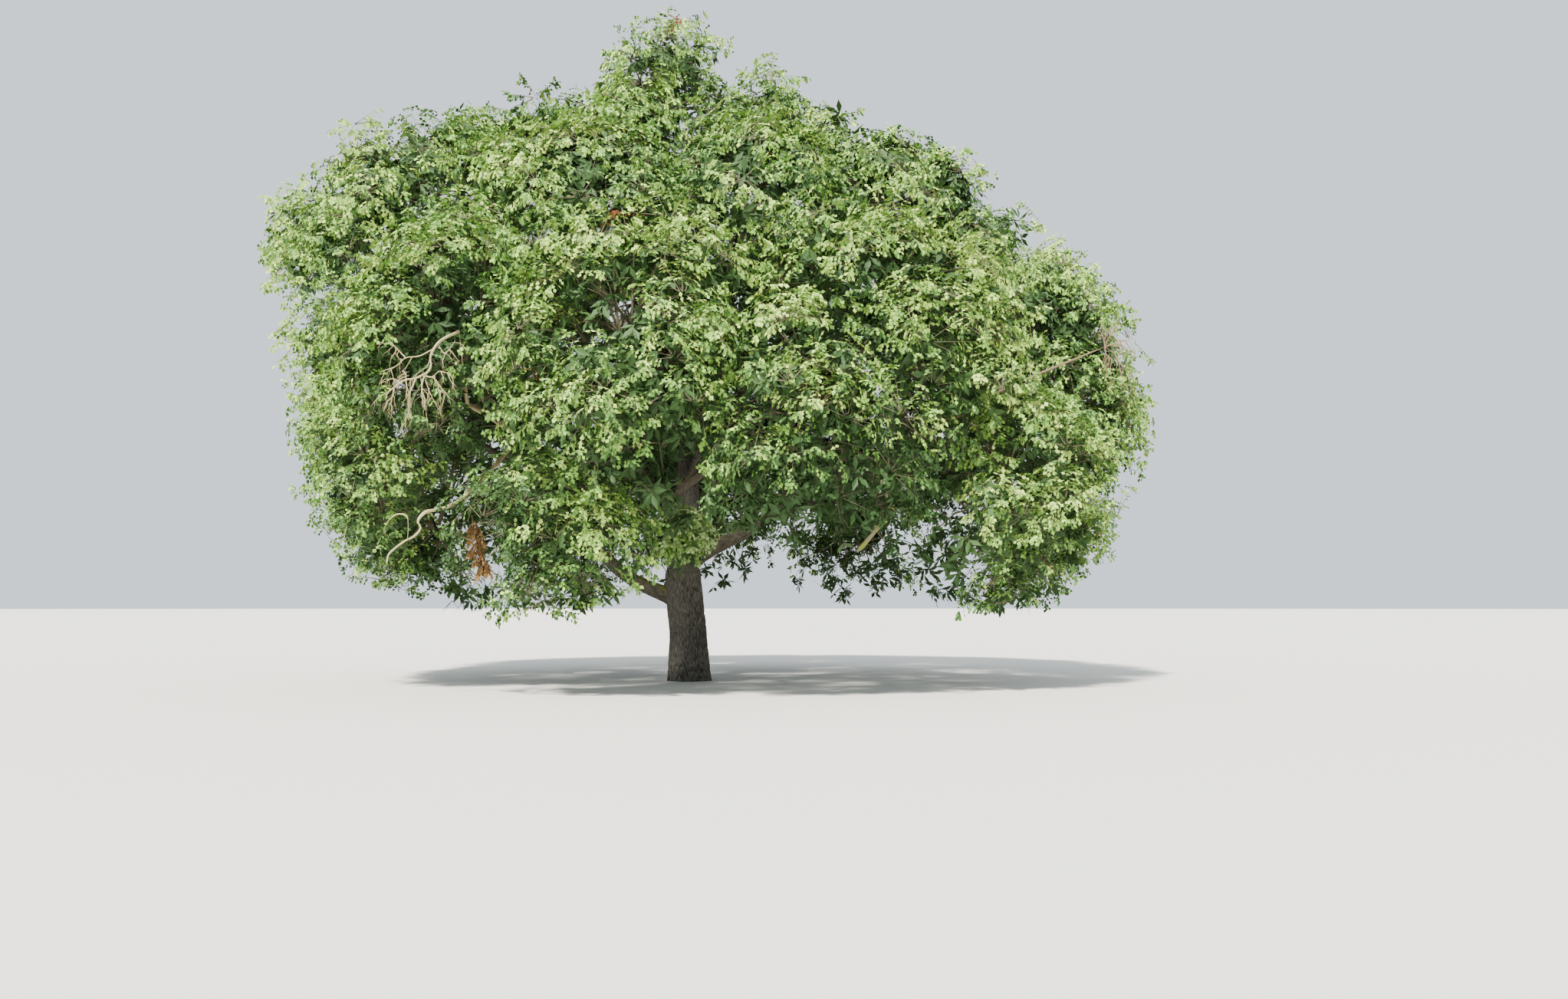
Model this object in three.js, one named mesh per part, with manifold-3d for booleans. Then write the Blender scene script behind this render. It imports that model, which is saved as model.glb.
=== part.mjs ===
// A broad old oak of open ground: one short thick trunk that forks low, boughs that
// spread through the hollow inside of the crown, and a dense dome of leafy masses round them.
// Millimetres, +Z up. The origin is the middle of the flat cut under the trunk, at ground
// level. +X is the crown's right and -Y its front.

import * as THREE from "three";
import { mergeVertices } from "three/addons/utils/BufferGeometryUtils.js";
import Module from "manifold-3d";

const wasm = await Module();
wasm.setup();

const { clamp, degToRad, lerp } = THREE.MathUtils;
const UP = new THREE.Vector3(0, 0, 1);

// Driving dimensions of the trunk
const TRUNK_HEIGHT = 8600;
const TRUNK_FOOT_RADIUS = 475;
const TRUNK_FORK_HEIGHT = 2600;
const TRUNK_FORK_RADIUS = 440;
const TRUNK_TOP_RADIUS = 120;
const LEADER_TAPER = 0.6; // below 1, the trunk thins fastest just above its fork
const TRUNK_SIDES = 14;
const TRUNK_STEPS = 14;
const ROOT_FLARE = 0.2; // how much the foot widens, as a share of its radius
const ROOT_FLARE_HEIGHT = 420;
const ROOT_COUNT = 5;
const ROOT_HOLLOW = 0.35; // how far the flare draws in between two roots
const TRUNK_LEAN = -180; // sideways, at the fork
const LEADER_SWAY = 120; // front to back, above the fork
const TRUNK_STUB = 80; // cut off below ground level, so that the foot is flat and level

// Driving dimensions of the crown: its half widths at a few heights
const LEFT_PROFILE = [
  [1300, 6600], [2600, 8900], [5000, 9600], [8000, 10100], [10500, 11000], [12000, 11100],
  [13600, 9300], [14500, 7400], [15000, 4400], [16200, 2500], [17000, 1300],
];
const RIGHT_PROFILE = [
  [1300, 9200], [3000, 11000], [5500, 11700], [8000, 11400], [10000, 10400], [11500, 8900],
  [13300, 7400], [14200, 5200], [15500, 3000], [16200, 1700], [17000, 300],
];
const DEPTH_PROFILE = [
  [1300, 7000], [3500, 8800], [6000, 9700], [8500, 9200], [11000, 7200], [13500, 4700],
  [15200, 2800], [17000, 900],
];

// The tiers of leafy masses, from the lowest: inset is how far a mass's middle lies inside
// the crown's outline, lift is each mass's own height above its tier's, and small gives the
// reach of those that are smaller than the rest
const TIERS = [
  {
    name: "skirt", height: 4000, start: -108, reach: 2900, inset: 2450,
    lift: [-800, 1500, 0, -300, 500, 900, 600, -300, 1100], small: { 0: 2150, 8: 2500 },
  },
  {
    name: "middle", height: 7500, start: -92, reach: 3500, inset: 2850,
    lift: [-900, -200, 200, -300, 100, -200, 300, 0, -300], small: {},
  },
  {
    name: "shoulder", height: 10800, start: -110, reach: 3400, inset: 2850,
    lift: [0, 200, 200, 100, -100, 200, -200, 100], small: {},
  },
  {
    name: "upper", height: 12700, start: -108, reach: 3100, inset: 2600,
    lift: [200, -1100, -300, 200, -500], small: {},
  },
];
// The other masses, by the middle of each
const TOP_MASSES = [
  { name: "foliage_top_1", at: [-900, -300, 14900], reach: 2300 },
  { name: "foliage_top_2", at: [1900, 300, 13650], reach: 2300 },
  { name: "foliage_top_3", at: [-4300, 0, 13300], reach: 2600 },
];
const FORK_CLUMP = { name: "foliage_fork", at: [-80, -1700, 3350], reach: 1000 };
const DEAD_BRANCH = { name: "dead_branch", at: [-4600, -7500, 5950], reach: 1500 };
const BARE_TWIGS = { name: "bare_twigs", at: [9000, -4900, 7200], reach: 1400 };
const DEAD_SPRAY = { name: "dead_leaf_spray", at: [-4200, -3700, 3600], reach: 1300 };
const CELL_GAP = 120; // free space between two neighbouring masses
const CROWN_MIDDLE = 6500; // the height that masses face away from
const OUTWARD_RISE = 0.8; // how much they face up or down as well
const TIER_SWAY = 4; // degrees that a mass may stand off its even place round the trunk

// A mass's solid core, as a share of its reach: outwards, sideways and towards the trunk
const CORE_OUT = 0.7;
const CORE_SIDE = 0.93;
const CORE_IN = 0.36;
const CORE_FILL = 0.97; // the most of its space that a core fills where it meets another
const CORE_LUMPS = 6;
const LUMP_HEIGHT = 0.3;
const LUMP_SHARPNESS = 8;
const LUMP_BASE = 0.12; // how far a core shrinks between its lumps
const SMALLEST_DETAIL = 5;
const SPRAY_ROOM = 0.4; // the outer share of a mass's space that is left to twigs and leaves

// Leaves and twigs. On a tree this large one leaf stands for a drooping spray.
const SPRAY_LENGTH = 2000;
const SPRAY_WIDTH = 1250;
const SPRAY_THICKNESS = 210;
const SPRAY_SCALES = [1, 0.85, 0.7, 0.55, 0.4]; // the largest that fits is taken
const SPRAY_LIFT = 0.65; // how far a leaf stands off the core, as a share of its droop
const SPRAY_RISE = 0.5; // leaves at the top of a mass point up
const SPRAY_FAN = 1; // how far a leaf may turn aside from straight down, in radians
const SPRAY_SINK = 0.3; // the share of a leaf that is sunk in the core, its twig in it
const TWIG_SINK = 100; // a leaf at a twig's end starts this far behind it
const TWIGS_PER_MASS = 24;
const OUTER_TWIG_EVERY = 4; // one twig in this many stands out of the core
const BARE_SIDE = -0.05; // no twigs where a direction turns this far to the trunk
const TWIG_LENGTH = 350; // outside the core
const TWIG_RADIUS = 75;
const TWIG_TIP_RADIUS = 35;
const TWIG_ROOT = 0.4; // where a twig starts, as a share of the core's radius
const STEM_RADIUS = 60; // where it ends, in the middle of its mass
const STEM_LEAD = 500; // a stem goes on straight ahead from its bough this far
const STEM_OVERLAP = 30; // a stem starts this far inside its bough and is cut back to its seat
const LONE_STEM = 0.8; // a stem's radius at its bough, as a share of the bough's tip
const TWIN_STEM = 0.4; // the same where two stems share the tip
const STEM_ARCH = 0.1; // of a stem from the side of a limb, as a share of its mass's reach
const STEM_TAPER = 0.6; // of such a stem, from root to tip

// Dead wood and dead leaves
const DEAD_FORKS = 6;
const DEAD_FORK_RADIUS = 38;
const DEAD_FORK_SWAY = 120;
const DEAD_FORK_FILL = 0.94; // the share of its space that a fork runs through
const DEAD_DROOP = 0.8;
const DEAD_BARE_SIDE = -0.2; // no forks where a direction turns this far to the trunk
const DEAD_TWIG_RADIUS = 20;
const DEAD_TWIG_LENGTH = 0.35; // as a share of its branch's reach
const DEAD_TIP_RADIUS = 11;
const KNOT_RADIUS = 75;
const DEAD_LEAVES = 8;
const DEAD_LEAF_SCALE = 0.32;
const DEAD_SPRAY_LENGTH = 0.6; // as a share of its reach
const DEAD_SPRAY_TURN = 2.4; // from one leaf to the next, in radians
const DEAD_SPRAY_SPREAD = 0.5; // how far its leaves hang aside from straight down

// Boughs. Each limb is seated this far clear of the limb that carries it.
const SEAT = 0.3;
const LIMB_CLEARANCE = 40; // leaves, twigs and cores keep this far from every other limb
const LOW_BOUGH = { radius: 185, sideRadius: 120, tipRadius: 82, elbow: 1500, rise: 700 };
const HIGH_BOUGH = { radius: 150, sideRadius: 105, tipRadius: 75, elbow: 900, rise: 900 };
const SIDE_ELBOW = { share: 0.3, sway: 250 }; // of a bough that grows from another
const BEND = { share: 0.55, sway: 350 }; // between the elbow and the tip
const LONE_TIP_DEPTH = 0.85; // how far a tip lies inside its mass's middle, in reaches
const TWIN_TIP_DEPTH = 0.6; // the same for a tip between two masses
// Which bough carries each one (null is the trunk), and where: a height or a share of length
const LOW_CARRIERS = [null, 0, null, 2, 5, null, 5, null, 7];
const LOW_SEATS = [3300, 0.42, 2900, 0.36, 0.4, 3700, 0.45, 1950, 0.4];
const HIGH_CARRIERS = [1, null, 3, null, 5, null, 7, null];
const HIGH_SEATS = [0.35, 4700, 0.36, 5500, 0.34, 6300, 0.35, 7000];
const TOP_SEATS = [8350, 7700];
const UPPER_PARTNER = { 0: 0, 2: 1, 3: 2, 5: 3, 6: 4 }; // shoulder mass to upper mass

// A number from 0 to 1 that is the same on every run, for item index of kind channel.
function chance(index, channel) {
  const wave = Math.sin(index * 127.1 + channel * 311.7) * 43758.5453;
  return wave - Math.floor(wave);
}

// The same, from -1 to 1.
const swing = (index, channel) => 2 * chance(index, channel) - 1;

// A closed geometry becomes a solid that can be joined and cut.
function toSolid(geometry) {
  geometry.deleteAttribute("normal");
  geometry.deleteAttribute("uv");
  const merged = mergeVertices(geometry, 1e-4);
  return new wasm.Manifold(new wasm.Mesh({
    numProp: 3,
    vertProperties: Float32Array.from(merged.attributes.position.array),
    triVerts: Uint32Array.from(merged.index.array),
  }));
}

// A solid becomes a flat shaded geometry.
function toGeometry(solid) {
  const mesh = solid.getMesh();
  const geometry = new THREE.BufferGeometry();
  geometry.setAttribute("position", new THREE.BufferAttribute(mesh.vertProperties, 3));
  geometry.setIndex(new THREE.BufferAttribute(mesh.triVerts, 1));
  const flat = geometry.toNonIndexed();
  flat.computeVertexNormals();
  return flat;
}

// The largest piece of a solid, without scraps or sealed hollows.
function largestPiece(solid) {
  const pieces = solid.decompose();
  return pieces.reduce((best, piece) => (piece.volume() > best.volume() ? piece : best));
}

// A closed round limb along a curve. radiusAt gives its radius for a share of the length
// and an angle round it, and its tip is lengthened by longer.
function limbSolid(curve, radiusAt, sides, steps, longer) {
  const tube = new THREE.CylinderGeometry(1, 1, 1, sides, steps);
  const frames = curve.computeFrenetFrames(steps, false);
  const corner = new THREE.Vector3();
  const position = tube.attributes.position;
  for (let i = 0; i < position.count; i++) {
    corner.fromBufferAttribute(position, i);
    const step = Math.round((corner.y + 0.5) * steps);
    const angle = Math.atan2(corner.z, corner.x);
    const radius = Math.hypot(corner.x, corner.z) * radiusAt(step / steps, angle);
    curve.getPointAt(step / steps, corner);
    if (step === steps) corner.addScaledVector(frames.tangents[step], longer);
    corner.addScaledVector(frames.normals[step], radius * Math.cos(angle));
    corner.addScaledVector(frames.binormals[step], -radius * Math.sin(angle));
    position.setXYZ(i, corner.x, corner.y, corner.z);
  }
  return toSolid(tube);
}

// A limb is known by its curve, the radius at each end and its sides and steps.
function limb(name, points, radius, tipRadius, sides = 6, steps = 6) {
  const curve = new THREE.CatmullRomCurve3(points, false, "centripetal");
  return { name, curve, radius, tipRadius, sides, steps };
}

function taperedSolid(item, extra = 0, longer = 0) {
  const radiusAt = item.radiusAt ?? ((share) => lerp(item.radius, item.tipRadius, share));
  const grown = (share, angle) => radiusAt(share, angle) + extra;
  return limbSolid(item.curve, grown, item.sides, item.steps, longer);
}

// The space that a limb needs for others to sit against it.
const seatOf = (item) => taperedSolid(item, 1.5 * SEAT, SEAT);

// Trunk

function trunkRadius(share, angle) {
  const height = share * TRUNK_HEIGHT;
  const below = clamp(height / TRUNK_FORK_HEIGHT, 0, 1);
  const above = clamp((height - TRUNK_FORK_HEIGHT) / (TRUNK_HEIGHT - TRUNK_FORK_HEIGHT), 0, 1);
  const shaft = lerp(TRUNK_FOOT_RADIUS, TRUNK_FORK_RADIUS, below);
  const leader = lerp(shaft, TRUNK_TOP_RADIUS, above ** LEADER_TAPER);
  const roots = lerp(1, Math.cos(ROOT_COUNT * angle), ROOT_HOLLOW);
  return leader * (1 + ROOT_FLARE * roots * Math.exp(-height / ROOT_FLARE_HEIGHT));
}

const trunk = limb("trunk", [
  new THREE.Vector3(0, 0, -TRUNK_STUB),
  new THREE.Vector3(0.3 * TRUNK_LEAN, 0, 0.5 * TRUNK_FORK_HEIGHT),
  new THREE.Vector3(TRUNK_LEAN, 0, TRUNK_FORK_HEIGHT),
  new THREE.Vector3(0.5 * TRUNK_LEAN, LEADER_SWAY, 0.55 * TRUNK_HEIGHT),
  new THREE.Vector3(TRUNK_LEAN, 0.5 * LEADER_SWAY, TRUNK_HEIGHT),
], TRUNK_FOOT_RADIUS, TRUNK_TOP_RADIUS, TRUNK_SIDES, TRUNK_STEPS);
trunk.radiusAt = trunkRadius;

// Crown outline

function profileAt(profile, height) {
  const above = profile.findIndex(([level]) => level > height);
  if (above === -1) return profile[profile.length - 1][1];
  if (above === 0) return profile[0][1];
  const [low, lowWidth] = profile[above - 1];
  const [high, highWidth] = profile[above];
  return lerp(lowWidth, highWidth, (height - low) / (high - low));
}

function crownRadius(azimuth, height) {
  const across = profileAt(Math.cos(azimuth) < 0 ? LEFT_PROFILE : RIGHT_PROFILE, height);
  const deep = profileAt(DEPTH_PROFILE, height);
  return 1 / Math.hypot(Math.cos(azimuth) / across, Math.sin(azimuth) / deep);
}

function insideCrown(point) {
  const top = LEFT_PROFILE[LEFT_PROFILE.length - 1][0];
  const bottom = LEFT_PROFILE[0][0];
  if (point.z > top || point.z < bottom) return false;
  return Math.hypot(point.x, point.y) < crownRadius(Math.atan2(point.y, point.x), point.z);
}

// Masses: where they are, and the space that each keeps to

function tierMasses(tier, tierIndex) {
  return tier.lift.map((lift, index) => {
    const step = 360 / tier.lift.length;
    const azimuth = degToRad(tier.start + step * index + TIER_SWAY * swing(index, 10 + tierIndex));
    const height = tier.height + lift;
    const out = crownRadius(azimuth, height) - tier.inset;
    const hub = new THREE.Vector3(out * Math.cos(azimuth), out * Math.sin(azimuth), height);
    const reach = tier.small[index] ?? tier.reach;
    return { name: `foliage_${tier.name}_${index + 1}`, hub, reach };
  });
}

const [skirt, middle, shoulder, upper] = TIERS.map(tierMasses);
const placed = ({ name, at, reach }) => ({ name, hub: new THREE.Vector3(...at), reach });
const top = TOP_MASSES.map(placed);
const forkClump = placed(FORK_CLUMP);
const deadBranch = placed(DEAD_BRANCH);
const bareTwigs = placed(BARE_TWIGS);
const deadSpray = placed(DEAD_SPRAY);
const leafy = [...skirt, ...middle, ...shoulder, ...upper, ...top, forkClump];
const masses = [...leafy, deadBranch, bareTwigs, deadSpray];

// The planes between a mass and each neighbour, seen from the hub: a larger mass takes more.
function cellPlanes(mass) {
  return masses.filter((other) => other !== mass).map((other) => {
    const normal = other.hub.clone().sub(mass.hub);
    const distance = normal.length();
    const limit = distance * mass.reach / (mass.reach + other.reach) - CELL_GAP / 2;
    return { normal: normal.divideScalar(distance), limit };
  });
}

function inCell(mass, point) {
  const offset = point.clone().sub(mass.hub);
  if (offset.length() > mass.reach || !insideCrown(point)) return false;
  return mass.planes.every(({ normal, limit }) => offset.dot(normal) < limit);
}

// How far the mass's space goes from its hub along a direction.
function spaceAlong(mass, direction) {
  let near = 0;
  let far = mass.reach;
  for (let round = 0; round < 10; round++) {
    const middleWay = (near + far) / 2;
    const point = mass.hub.clone().addScaledVector(direction, middleWay);
    if (inCell(mass, point)) near = middleWay;
    else far = middleWay;
  }
  return near;
}

masses.forEach((mass, index) => {
  mass.index = index;
  mass.planes = cellPlanes(mass);
  mass.outward = new THREE.Vector3(
    mass.hub.x, mass.hub.y, OUTWARD_RISE * (mass.hub.z - CROWN_MIDDLE),
  ).normalize();
});

// Boughs: the tip of each lies inside the crown, between the masses that it feeds

function tipFor(fed) {
  const [first, second] = fed;
  const inward = first.outward.clone().negate();
  if (!second) {
    return first.hub.clone().addScaledVector(inward, LONE_TIP_DEPTH * first.reach);
  }
  const between = first.hub.clone().add(second.hub).multiplyScalar(0.5);
  const across = second.hub.clone().sub(first.hub).normalize();
  inward.addScaledVector(across, -inward.dot(across)).normalize();
  return between.addScaledVector(inward, TWIN_TIP_DEPTH * first.reach);
}

function trunkPoint(height) {
  return trunk.curve.getPointAt(clamp(height / TRUNK_HEIGHT, 0, 1));
}

function bough(name, fed, carrier, seat, size, index) {
  const tip = tipFor(fed);
  const root = carrier ? carrier.curve.getPointAt(seat) : trunkPoint(seat);
  const out = tip.clone().sub(root).setZ(0).normalize();
  const side = new THREE.Vector3().crossVectors(UP, out);
  const elbow = root.clone();
  if (carrier) {
    elbow.lerp(tip, SIDE_ELBOW.share).addScaledVector(side, SIDE_ELBOW.sway * swing(index, 21));
  } else {
    elbow.addScaledVector(out, size.elbow).addScaledVector(UP, size.rise);
  }
  const bend = elbow.clone().lerp(tip, BEND.share);
  bend.addScaledVector(side, BEND.sway * swing(index, 22));
  bend.addScaledVector(UP, BEND.sway * chance(index, 23));
  const radius = carrier ? size.sideRadius : size.radius;
  const item = limb(name, [root, elbow, bend, tip], radius, size.tipRadius);
  item.fed = fed;
  return item;
}

// Carriers come first, so that a side bough finds the limb that it grows from.
function boughTier(kind, fedBy, carriers, seats, size) {
  const tier = [];
  const order = carriers.map((_, index) => index);
  order.sort((a, b) => (carriers[a] !== null) - (carriers[b] !== null));
  for (const index of order) {
    const carrier = carriers[index] === null ? null : tier[carriers[index]];
    const name = `bough_${kind}_${index + 1}`;
    tier[index] = bough(name, fedBy(index), carrier, seats[index], size, index);
  }
  return order.map((index) => tier[index]);
}

const lowBoughs = boughTier(
  "low", (index) => [skirt[index], middle[index]], LOW_CARRIERS, LOW_SEATS, LOW_BOUGH,
);
const highBoughs = boughTier("high", (index) => {
  const partner = upper[UPPER_PARTNER[index]];
  return partner ? [shoulder[index], partner] : [shoulder[index]];
}, HIGH_CARRIERS, HIGH_SEATS, HIGH_BOUGH);
const topBoughs = [
  bough("bough_top_1", [top[0], top[2]], null, TOP_SEATS[0], HIGH_BOUGH, 30),
  bough("bough_top_2", [top[1]], null, TOP_SEATS[1], HIGH_BOUGH, 31),
];
const boughs = [...lowBoughs, ...highBoughs, ...topBoughs];

// Each limb is cut to sit against all that were made before it.
const levelTrunk = taperedSolid(trunk).trimByPlane([0, 0, 1], 0);
const woodSolids = [{ item: trunk, solid: levelTrunk, seat: seatOf(trunk) }];
for (const item of boughs) {
  let solid = taperedSolid(item);
  for (const other of woodSolids) solid = solid.subtract(other.seat);
  woodSolids.push({ item, solid: largestPiece(solid), seat: seatOf(item) });
}

// Stems: one or two leave the flat tip of a bough, each into its own mass

for (const item of boughs) {
  const tip = item.curve.getPointAt(1);
  const ahead = item.curve.getTangentAt(1);
  const [first, second] = item.fed;
  for (const mass of item.fed) {
    const root = tip.clone().addScaledVector(ahead, -STEM_OVERLAP);
    const side = second ? second.hub.clone().sub(first.hub) : new THREE.Vector3();
    side.addScaledVector(ahead, -side.dot(ahead)).normalize();
    const offset = second ? (mass === first ? -0.5 : 0.5) * item.tipRadius : 0;
    root.addScaledVector(side, offset);
    const radius = (second ? TWIN_STEM : LONE_STEM) * item.tipRadius;
    const bend = root.clone().addScaledVector(ahead, STEM_LEAD).addScaledVector(side, 3 * offset);
    mass.stem = limb(`${mass.name}_stem`, [root, bend, mass.hub], radius, STEM_RADIUS, 4, 3);
  }
}

// A few smaller masses grow from the side of a limb instead.
function sideStem(mass, carrier, share, radius) {
  const root = carrier.curve.getPointAt(share);
  const bend = root.clone().lerp(mass.hub, 0.5).addScaledVector(UP, STEM_ARCH * mass.reach);
  const tipRadius = STEM_TAPER * radius;
  mass.stem = limb(`${mass.name}_stem`, [root, bend, mass.hub], radius, tipRadius, 5, 4);
  mass.carrier = carrier;
}

const boughNamed = (name) => boughs.find((item) => item.name === name);
sideStem(forkClump, trunk, 0.3, 55);
sideStem(deadBranch, boughNamed("bough_low_9"), 0.72, 75);
sideStem(bareTwigs, boughNamed("bough_low_3"), 0.9, 60);
sideStem(deadSpray, boughNamed("bough_low_9"), 0.6, 28);

// Foliage

// The core's radius along a direction: lumpy, flatter towards the trunk, inside its space.
function coreRadius(mass, direction, lumps) {
  const facing = direction.dot(mass.outward);
  let share = lerp(CORE_SIDE, facing > 0 ? CORE_OUT : CORE_IN, Math.abs(facing));
  for (const lump of lumps) {
    share += LUMP_HEIGHT * (Math.max(0, direction.dot(lump)) ** LUMP_SHARPNESS - LUMP_BASE);
  }
  const filled = lerp(CORE_FILL, 1 - SPRAY_ROOM, Math.max(0, facing));
  return Math.min(share * mass.reach, filled * spaceAlong(mass, direction));
}

function spreadDirections(count, seed) {
  return Array.from({ length: count }, (_, index) => {
    const height = 1 - (2 * index + 1) / count;
    const angle = index * Math.PI * (3 - Math.sqrt(5)) + 2 * Math.PI * chance(seed, 40);
    const flat = Math.sqrt(1 - height * height);
    return new THREE.Vector3(flat * Math.cos(angle), flat * Math.sin(angle), height);
  });
}

function coreSolid(mass, lumps) {
  const ball = new THREE.IcosahedronGeometry(1, 1);
  const position = ball.attributes.position;
  const direction = new THREE.Vector3();
  for (let i = 0; i < position.count; i++) {
    direction.fromBufferAttribute(position, i).normalize();
    const radius = coreRadius(mass, direction, lumps);
    direction.multiplyScalar(radius).add(mass.hub);
    position.setXYZ(i, direction.x, direction.y, direction.z);
  }
  return toSolid(ball);
}

// One leaf: a flat eight faced blade from its root along a direction.
function leafGeometry(root, along, facing, scale) {
  const blade = new THREE.OctahedronGeometry(0.5);
  blade.translate(0.5, 0, 0);
  blade.scale(SPRAY_LENGTH * scale, SPRAY_WIDTH * scale, SPRAY_THICKNESS * scale);
  const side = new THREE.Vector3().crossVectors(facing, along).normalize();
  const normal = new THREE.Vector3().crossVectors(along, side);
  const frame = new THREE.Matrix4().makeBasis(along, side, normal).setPosition(root);
  return blade.applyMatrix4(frame);
}

function fitsCell(mass, geometry) {
  const position = geometry.attributes.position;
  const corner = new THREE.Vector3();
  for (let i = 0; i < position.count; i++) {
    if (!inCell(mass, corner.fromBufferAttribute(position, i))) return false;
  }
  return true;
}

// Twigs branch from the stem's end inside the core. Most end at its surface, where their
// leaf leaves it, and some stand out and carry a second leaf.
function twigsAndLeaves(mass, lumps) {
  const pieces = [];
  spreadDirections(TWIGS_PER_MASS, mass.index).forEach((direction, index) => {
    if (direction.dot(mass.outward) < BARE_SIDE) return;
    const core = coreRadius(mass, direction, lumps);
    const seed = mass.index * TWIGS_PER_MASS + index;
    const out = (distance) => mass.hub.clone().addScaledVector(direction, distance);
    const across = new THREE.Vector3().crossVectors(direction, UP).normalize();
    const uphill = new THREE.Vector3().crossVectors(across, direction);

    const addLeaf = (place, sunkShare, sunk, turn) => {
      const heading = direction.clone().multiplyScalar(SPRAY_LIFT);
      heading.addScaledVector(uphill, Math.cos(turn)).addScaledVector(across, Math.sin(turn));
      heading.addScaledVector(UP, SPRAY_RISE * direction.z).normalize();
      const fitting = SPRAY_SCALES.map((scale) => {
        const depth = sunk + sunkShare * SPRAY_LENGTH * scale;
        const root = place.clone().addScaledVector(heading, -depth);
        return leafGeometry(root, heading, direction, scale);
      }).find((blade) => fitsCell(mass, blade));
      if (fitting) pieces.push(toSolid(fitting));
      return Boolean(fitting);
    };

    const turn = Math.PI + SPRAY_FAN * swing(seed, 6);
    addLeaf(out(core), SPRAY_SINK, 0, turn);
    const outer = index % OUTER_TWIG_EVERY === mass.index % OUTER_TWIG_EVERY;
    if (outer && addLeaf(out(core + TWIG_LENGTH), 0, TWIG_SINK, turn + Math.PI)) {
      const ends = [out(TWIG_ROOT * core), out(core + TWIG_LENGTH)];
      pieces.push(taperedSolid(limb("twig", ends, TWIG_RADIUS, TWIG_TIP_RADIUS, 3, 1)));
    }
  });
  return pieces;
}

// A dead branch: forks leave the stem's end, and each forks once more.
function bareForks(mass) {
  const knot = new THREE.OctahedronGeometry(KNOT_RADIUS, 1).translate(...mass.hub);
  const pieces = [toSolid(knot)];
  const forks = spreadDirections(2 * DEAD_FORKS, mass.index)
    .filter((direction) => direction.dot(mass.outward) > DEAD_BARE_SIDE).slice(0, DEAD_FORKS);
  forks.forEach((direction, index) => {
    const seed = 31 * mass.index + index;
    const room = DEAD_FORK_FILL * spaceAlong(mass, direction);
    const end = mass.hub.clone().addScaledVector(direction, room);
    const side = new THREE.Vector3().crossVectors(direction, UP).normalize();
    const bend = mass.hub.clone().lerp(end, 0.5);
    bend.addScaledVector(side, DEAD_FORK_SWAY * swing(seed, 3));
    const fork = limb("fork", [mass.hub, bend, end], DEAD_FORK_RADIUS, DEAD_TIP_RADIUS, 3, 3);
    pieces.push(taperedSolid(fork));
    const turned = direction.clone().addScaledVector(side, swing(seed, 4) < 0 ? -1 : 1);
    turned.addScaledVector(UP, -DEAD_DROOP * chance(seed, 5)).normalize();
    const tip = bend.clone().addScaledVector(turned, DEAD_TWIG_LENGTH * mass.reach);
    if (!inCell(mass, tip)) return;
    pieces.push(taperedSolid(limb("twig", [bend, tip], DEAD_TWIG_RADIUS, DEAD_TIP_RADIUS, 3, 1)));
  });
  return pieces;
}

// A spray of dead leaves that hangs from its stem's end.
function hangingLeaves(mass) {
  const knot = new THREE.OctahedronGeometry(0.5 * KNOT_RADIUS, 1).translate(...mass.hub);
  const pieces = [toSolid(knot)];
  const foot = mass.hub.clone().addScaledVector(UP, -DEAD_SPRAY_LENGTH * mass.reach);
  const ends = [mass.hub, foot];
  pieces.push(taperedSolid(limb("twig", ends, DEAD_TWIG_RADIUS, DEAD_TIP_RADIUS, 3, 1)));
  for (let leaf = 0; leaf < DEAD_LEAVES; leaf++) {
    const share = (leaf + 0.5) / DEAD_LEAVES;
    const angle = DEAD_SPRAY_TURN * leaf;
    const facing = new THREE.Vector3(Math.cos(angle), Math.sin(angle), 0);
    const heading = facing.clone().multiplyScalar(DEAD_SPRAY_SPREAD).addScaledVector(UP, -1).normalize();
    const root = mass.hub.clone().lerp(foot, share).addScaledVector(heading, -DEAD_TWIG_RADIUS);
    pieces.push(toSolid(leafGeometry(root, heading, facing, DEAD_LEAF_SCALE)));
  }
  return pieces;
}

const stems = masses.map((mass) => ({ mass, seat: taperedSolid(mass.stem, LIMB_CLEARANCE) }));
const clearWood = [trunk, ...boughs].map((item) => ({
  item, wide: taperedSolid(item, LIMB_CLEARANCE, SEAT), seat: seatOf(item),
}));

function massSolid(mass) {
  const lumps = spreadDirections(CORE_LUMPS, mass.index + 100);
  let pieces = [];
  if (mass === deadSpray) pieces = hangingLeaves(mass);
  else if (mass === deadBranch || mass === bareTwigs) pieces = bareForks(mass);
  else pieces = [coreSolid(mass, lumps), ...twigsAndLeaves(mass, lumps)];
  let solid = wasm.Manifold.union([taperedSolid(mass.stem), ...pieces]);
  for (const wood of clearWood) {
    solid = solid.subtract(wood.item === mass.carrier ? wood.seat : wood.wide);
  }
  for (const other of stems) {
    if (other.mass !== mass) solid = solid.subtract(other.seat);
  }
  return largestPiece(largestPiece(solid).simplify(SMALLEST_DETAIL));
}

// Materials
const bark = new THREE.MeshStandardMaterial({ color: "#7d7663", roughness: 0.95, metalness: 0 });
const boughBark = new THREE.MeshStandardMaterial({ color: "#6b6350", roughness: 0.95, metalness: 0 });
const foliage = new THREE.MeshStandardMaterial({ color: "#7f9a45", roughness: 0.7, metalness: 0 });
const deadWood = new THREE.MeshStandardMaterial({ color: "#a3917a", roughness: 0.95, metalness: 0 });
const deadLeaf = new THREE.MeshStandardMaterial({ color: "#9a6a35", roughness: 0.85, metalness: 0 });

// Assembly
const tree = new THREE.Group();
tree.name = "oak_tree";

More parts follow.
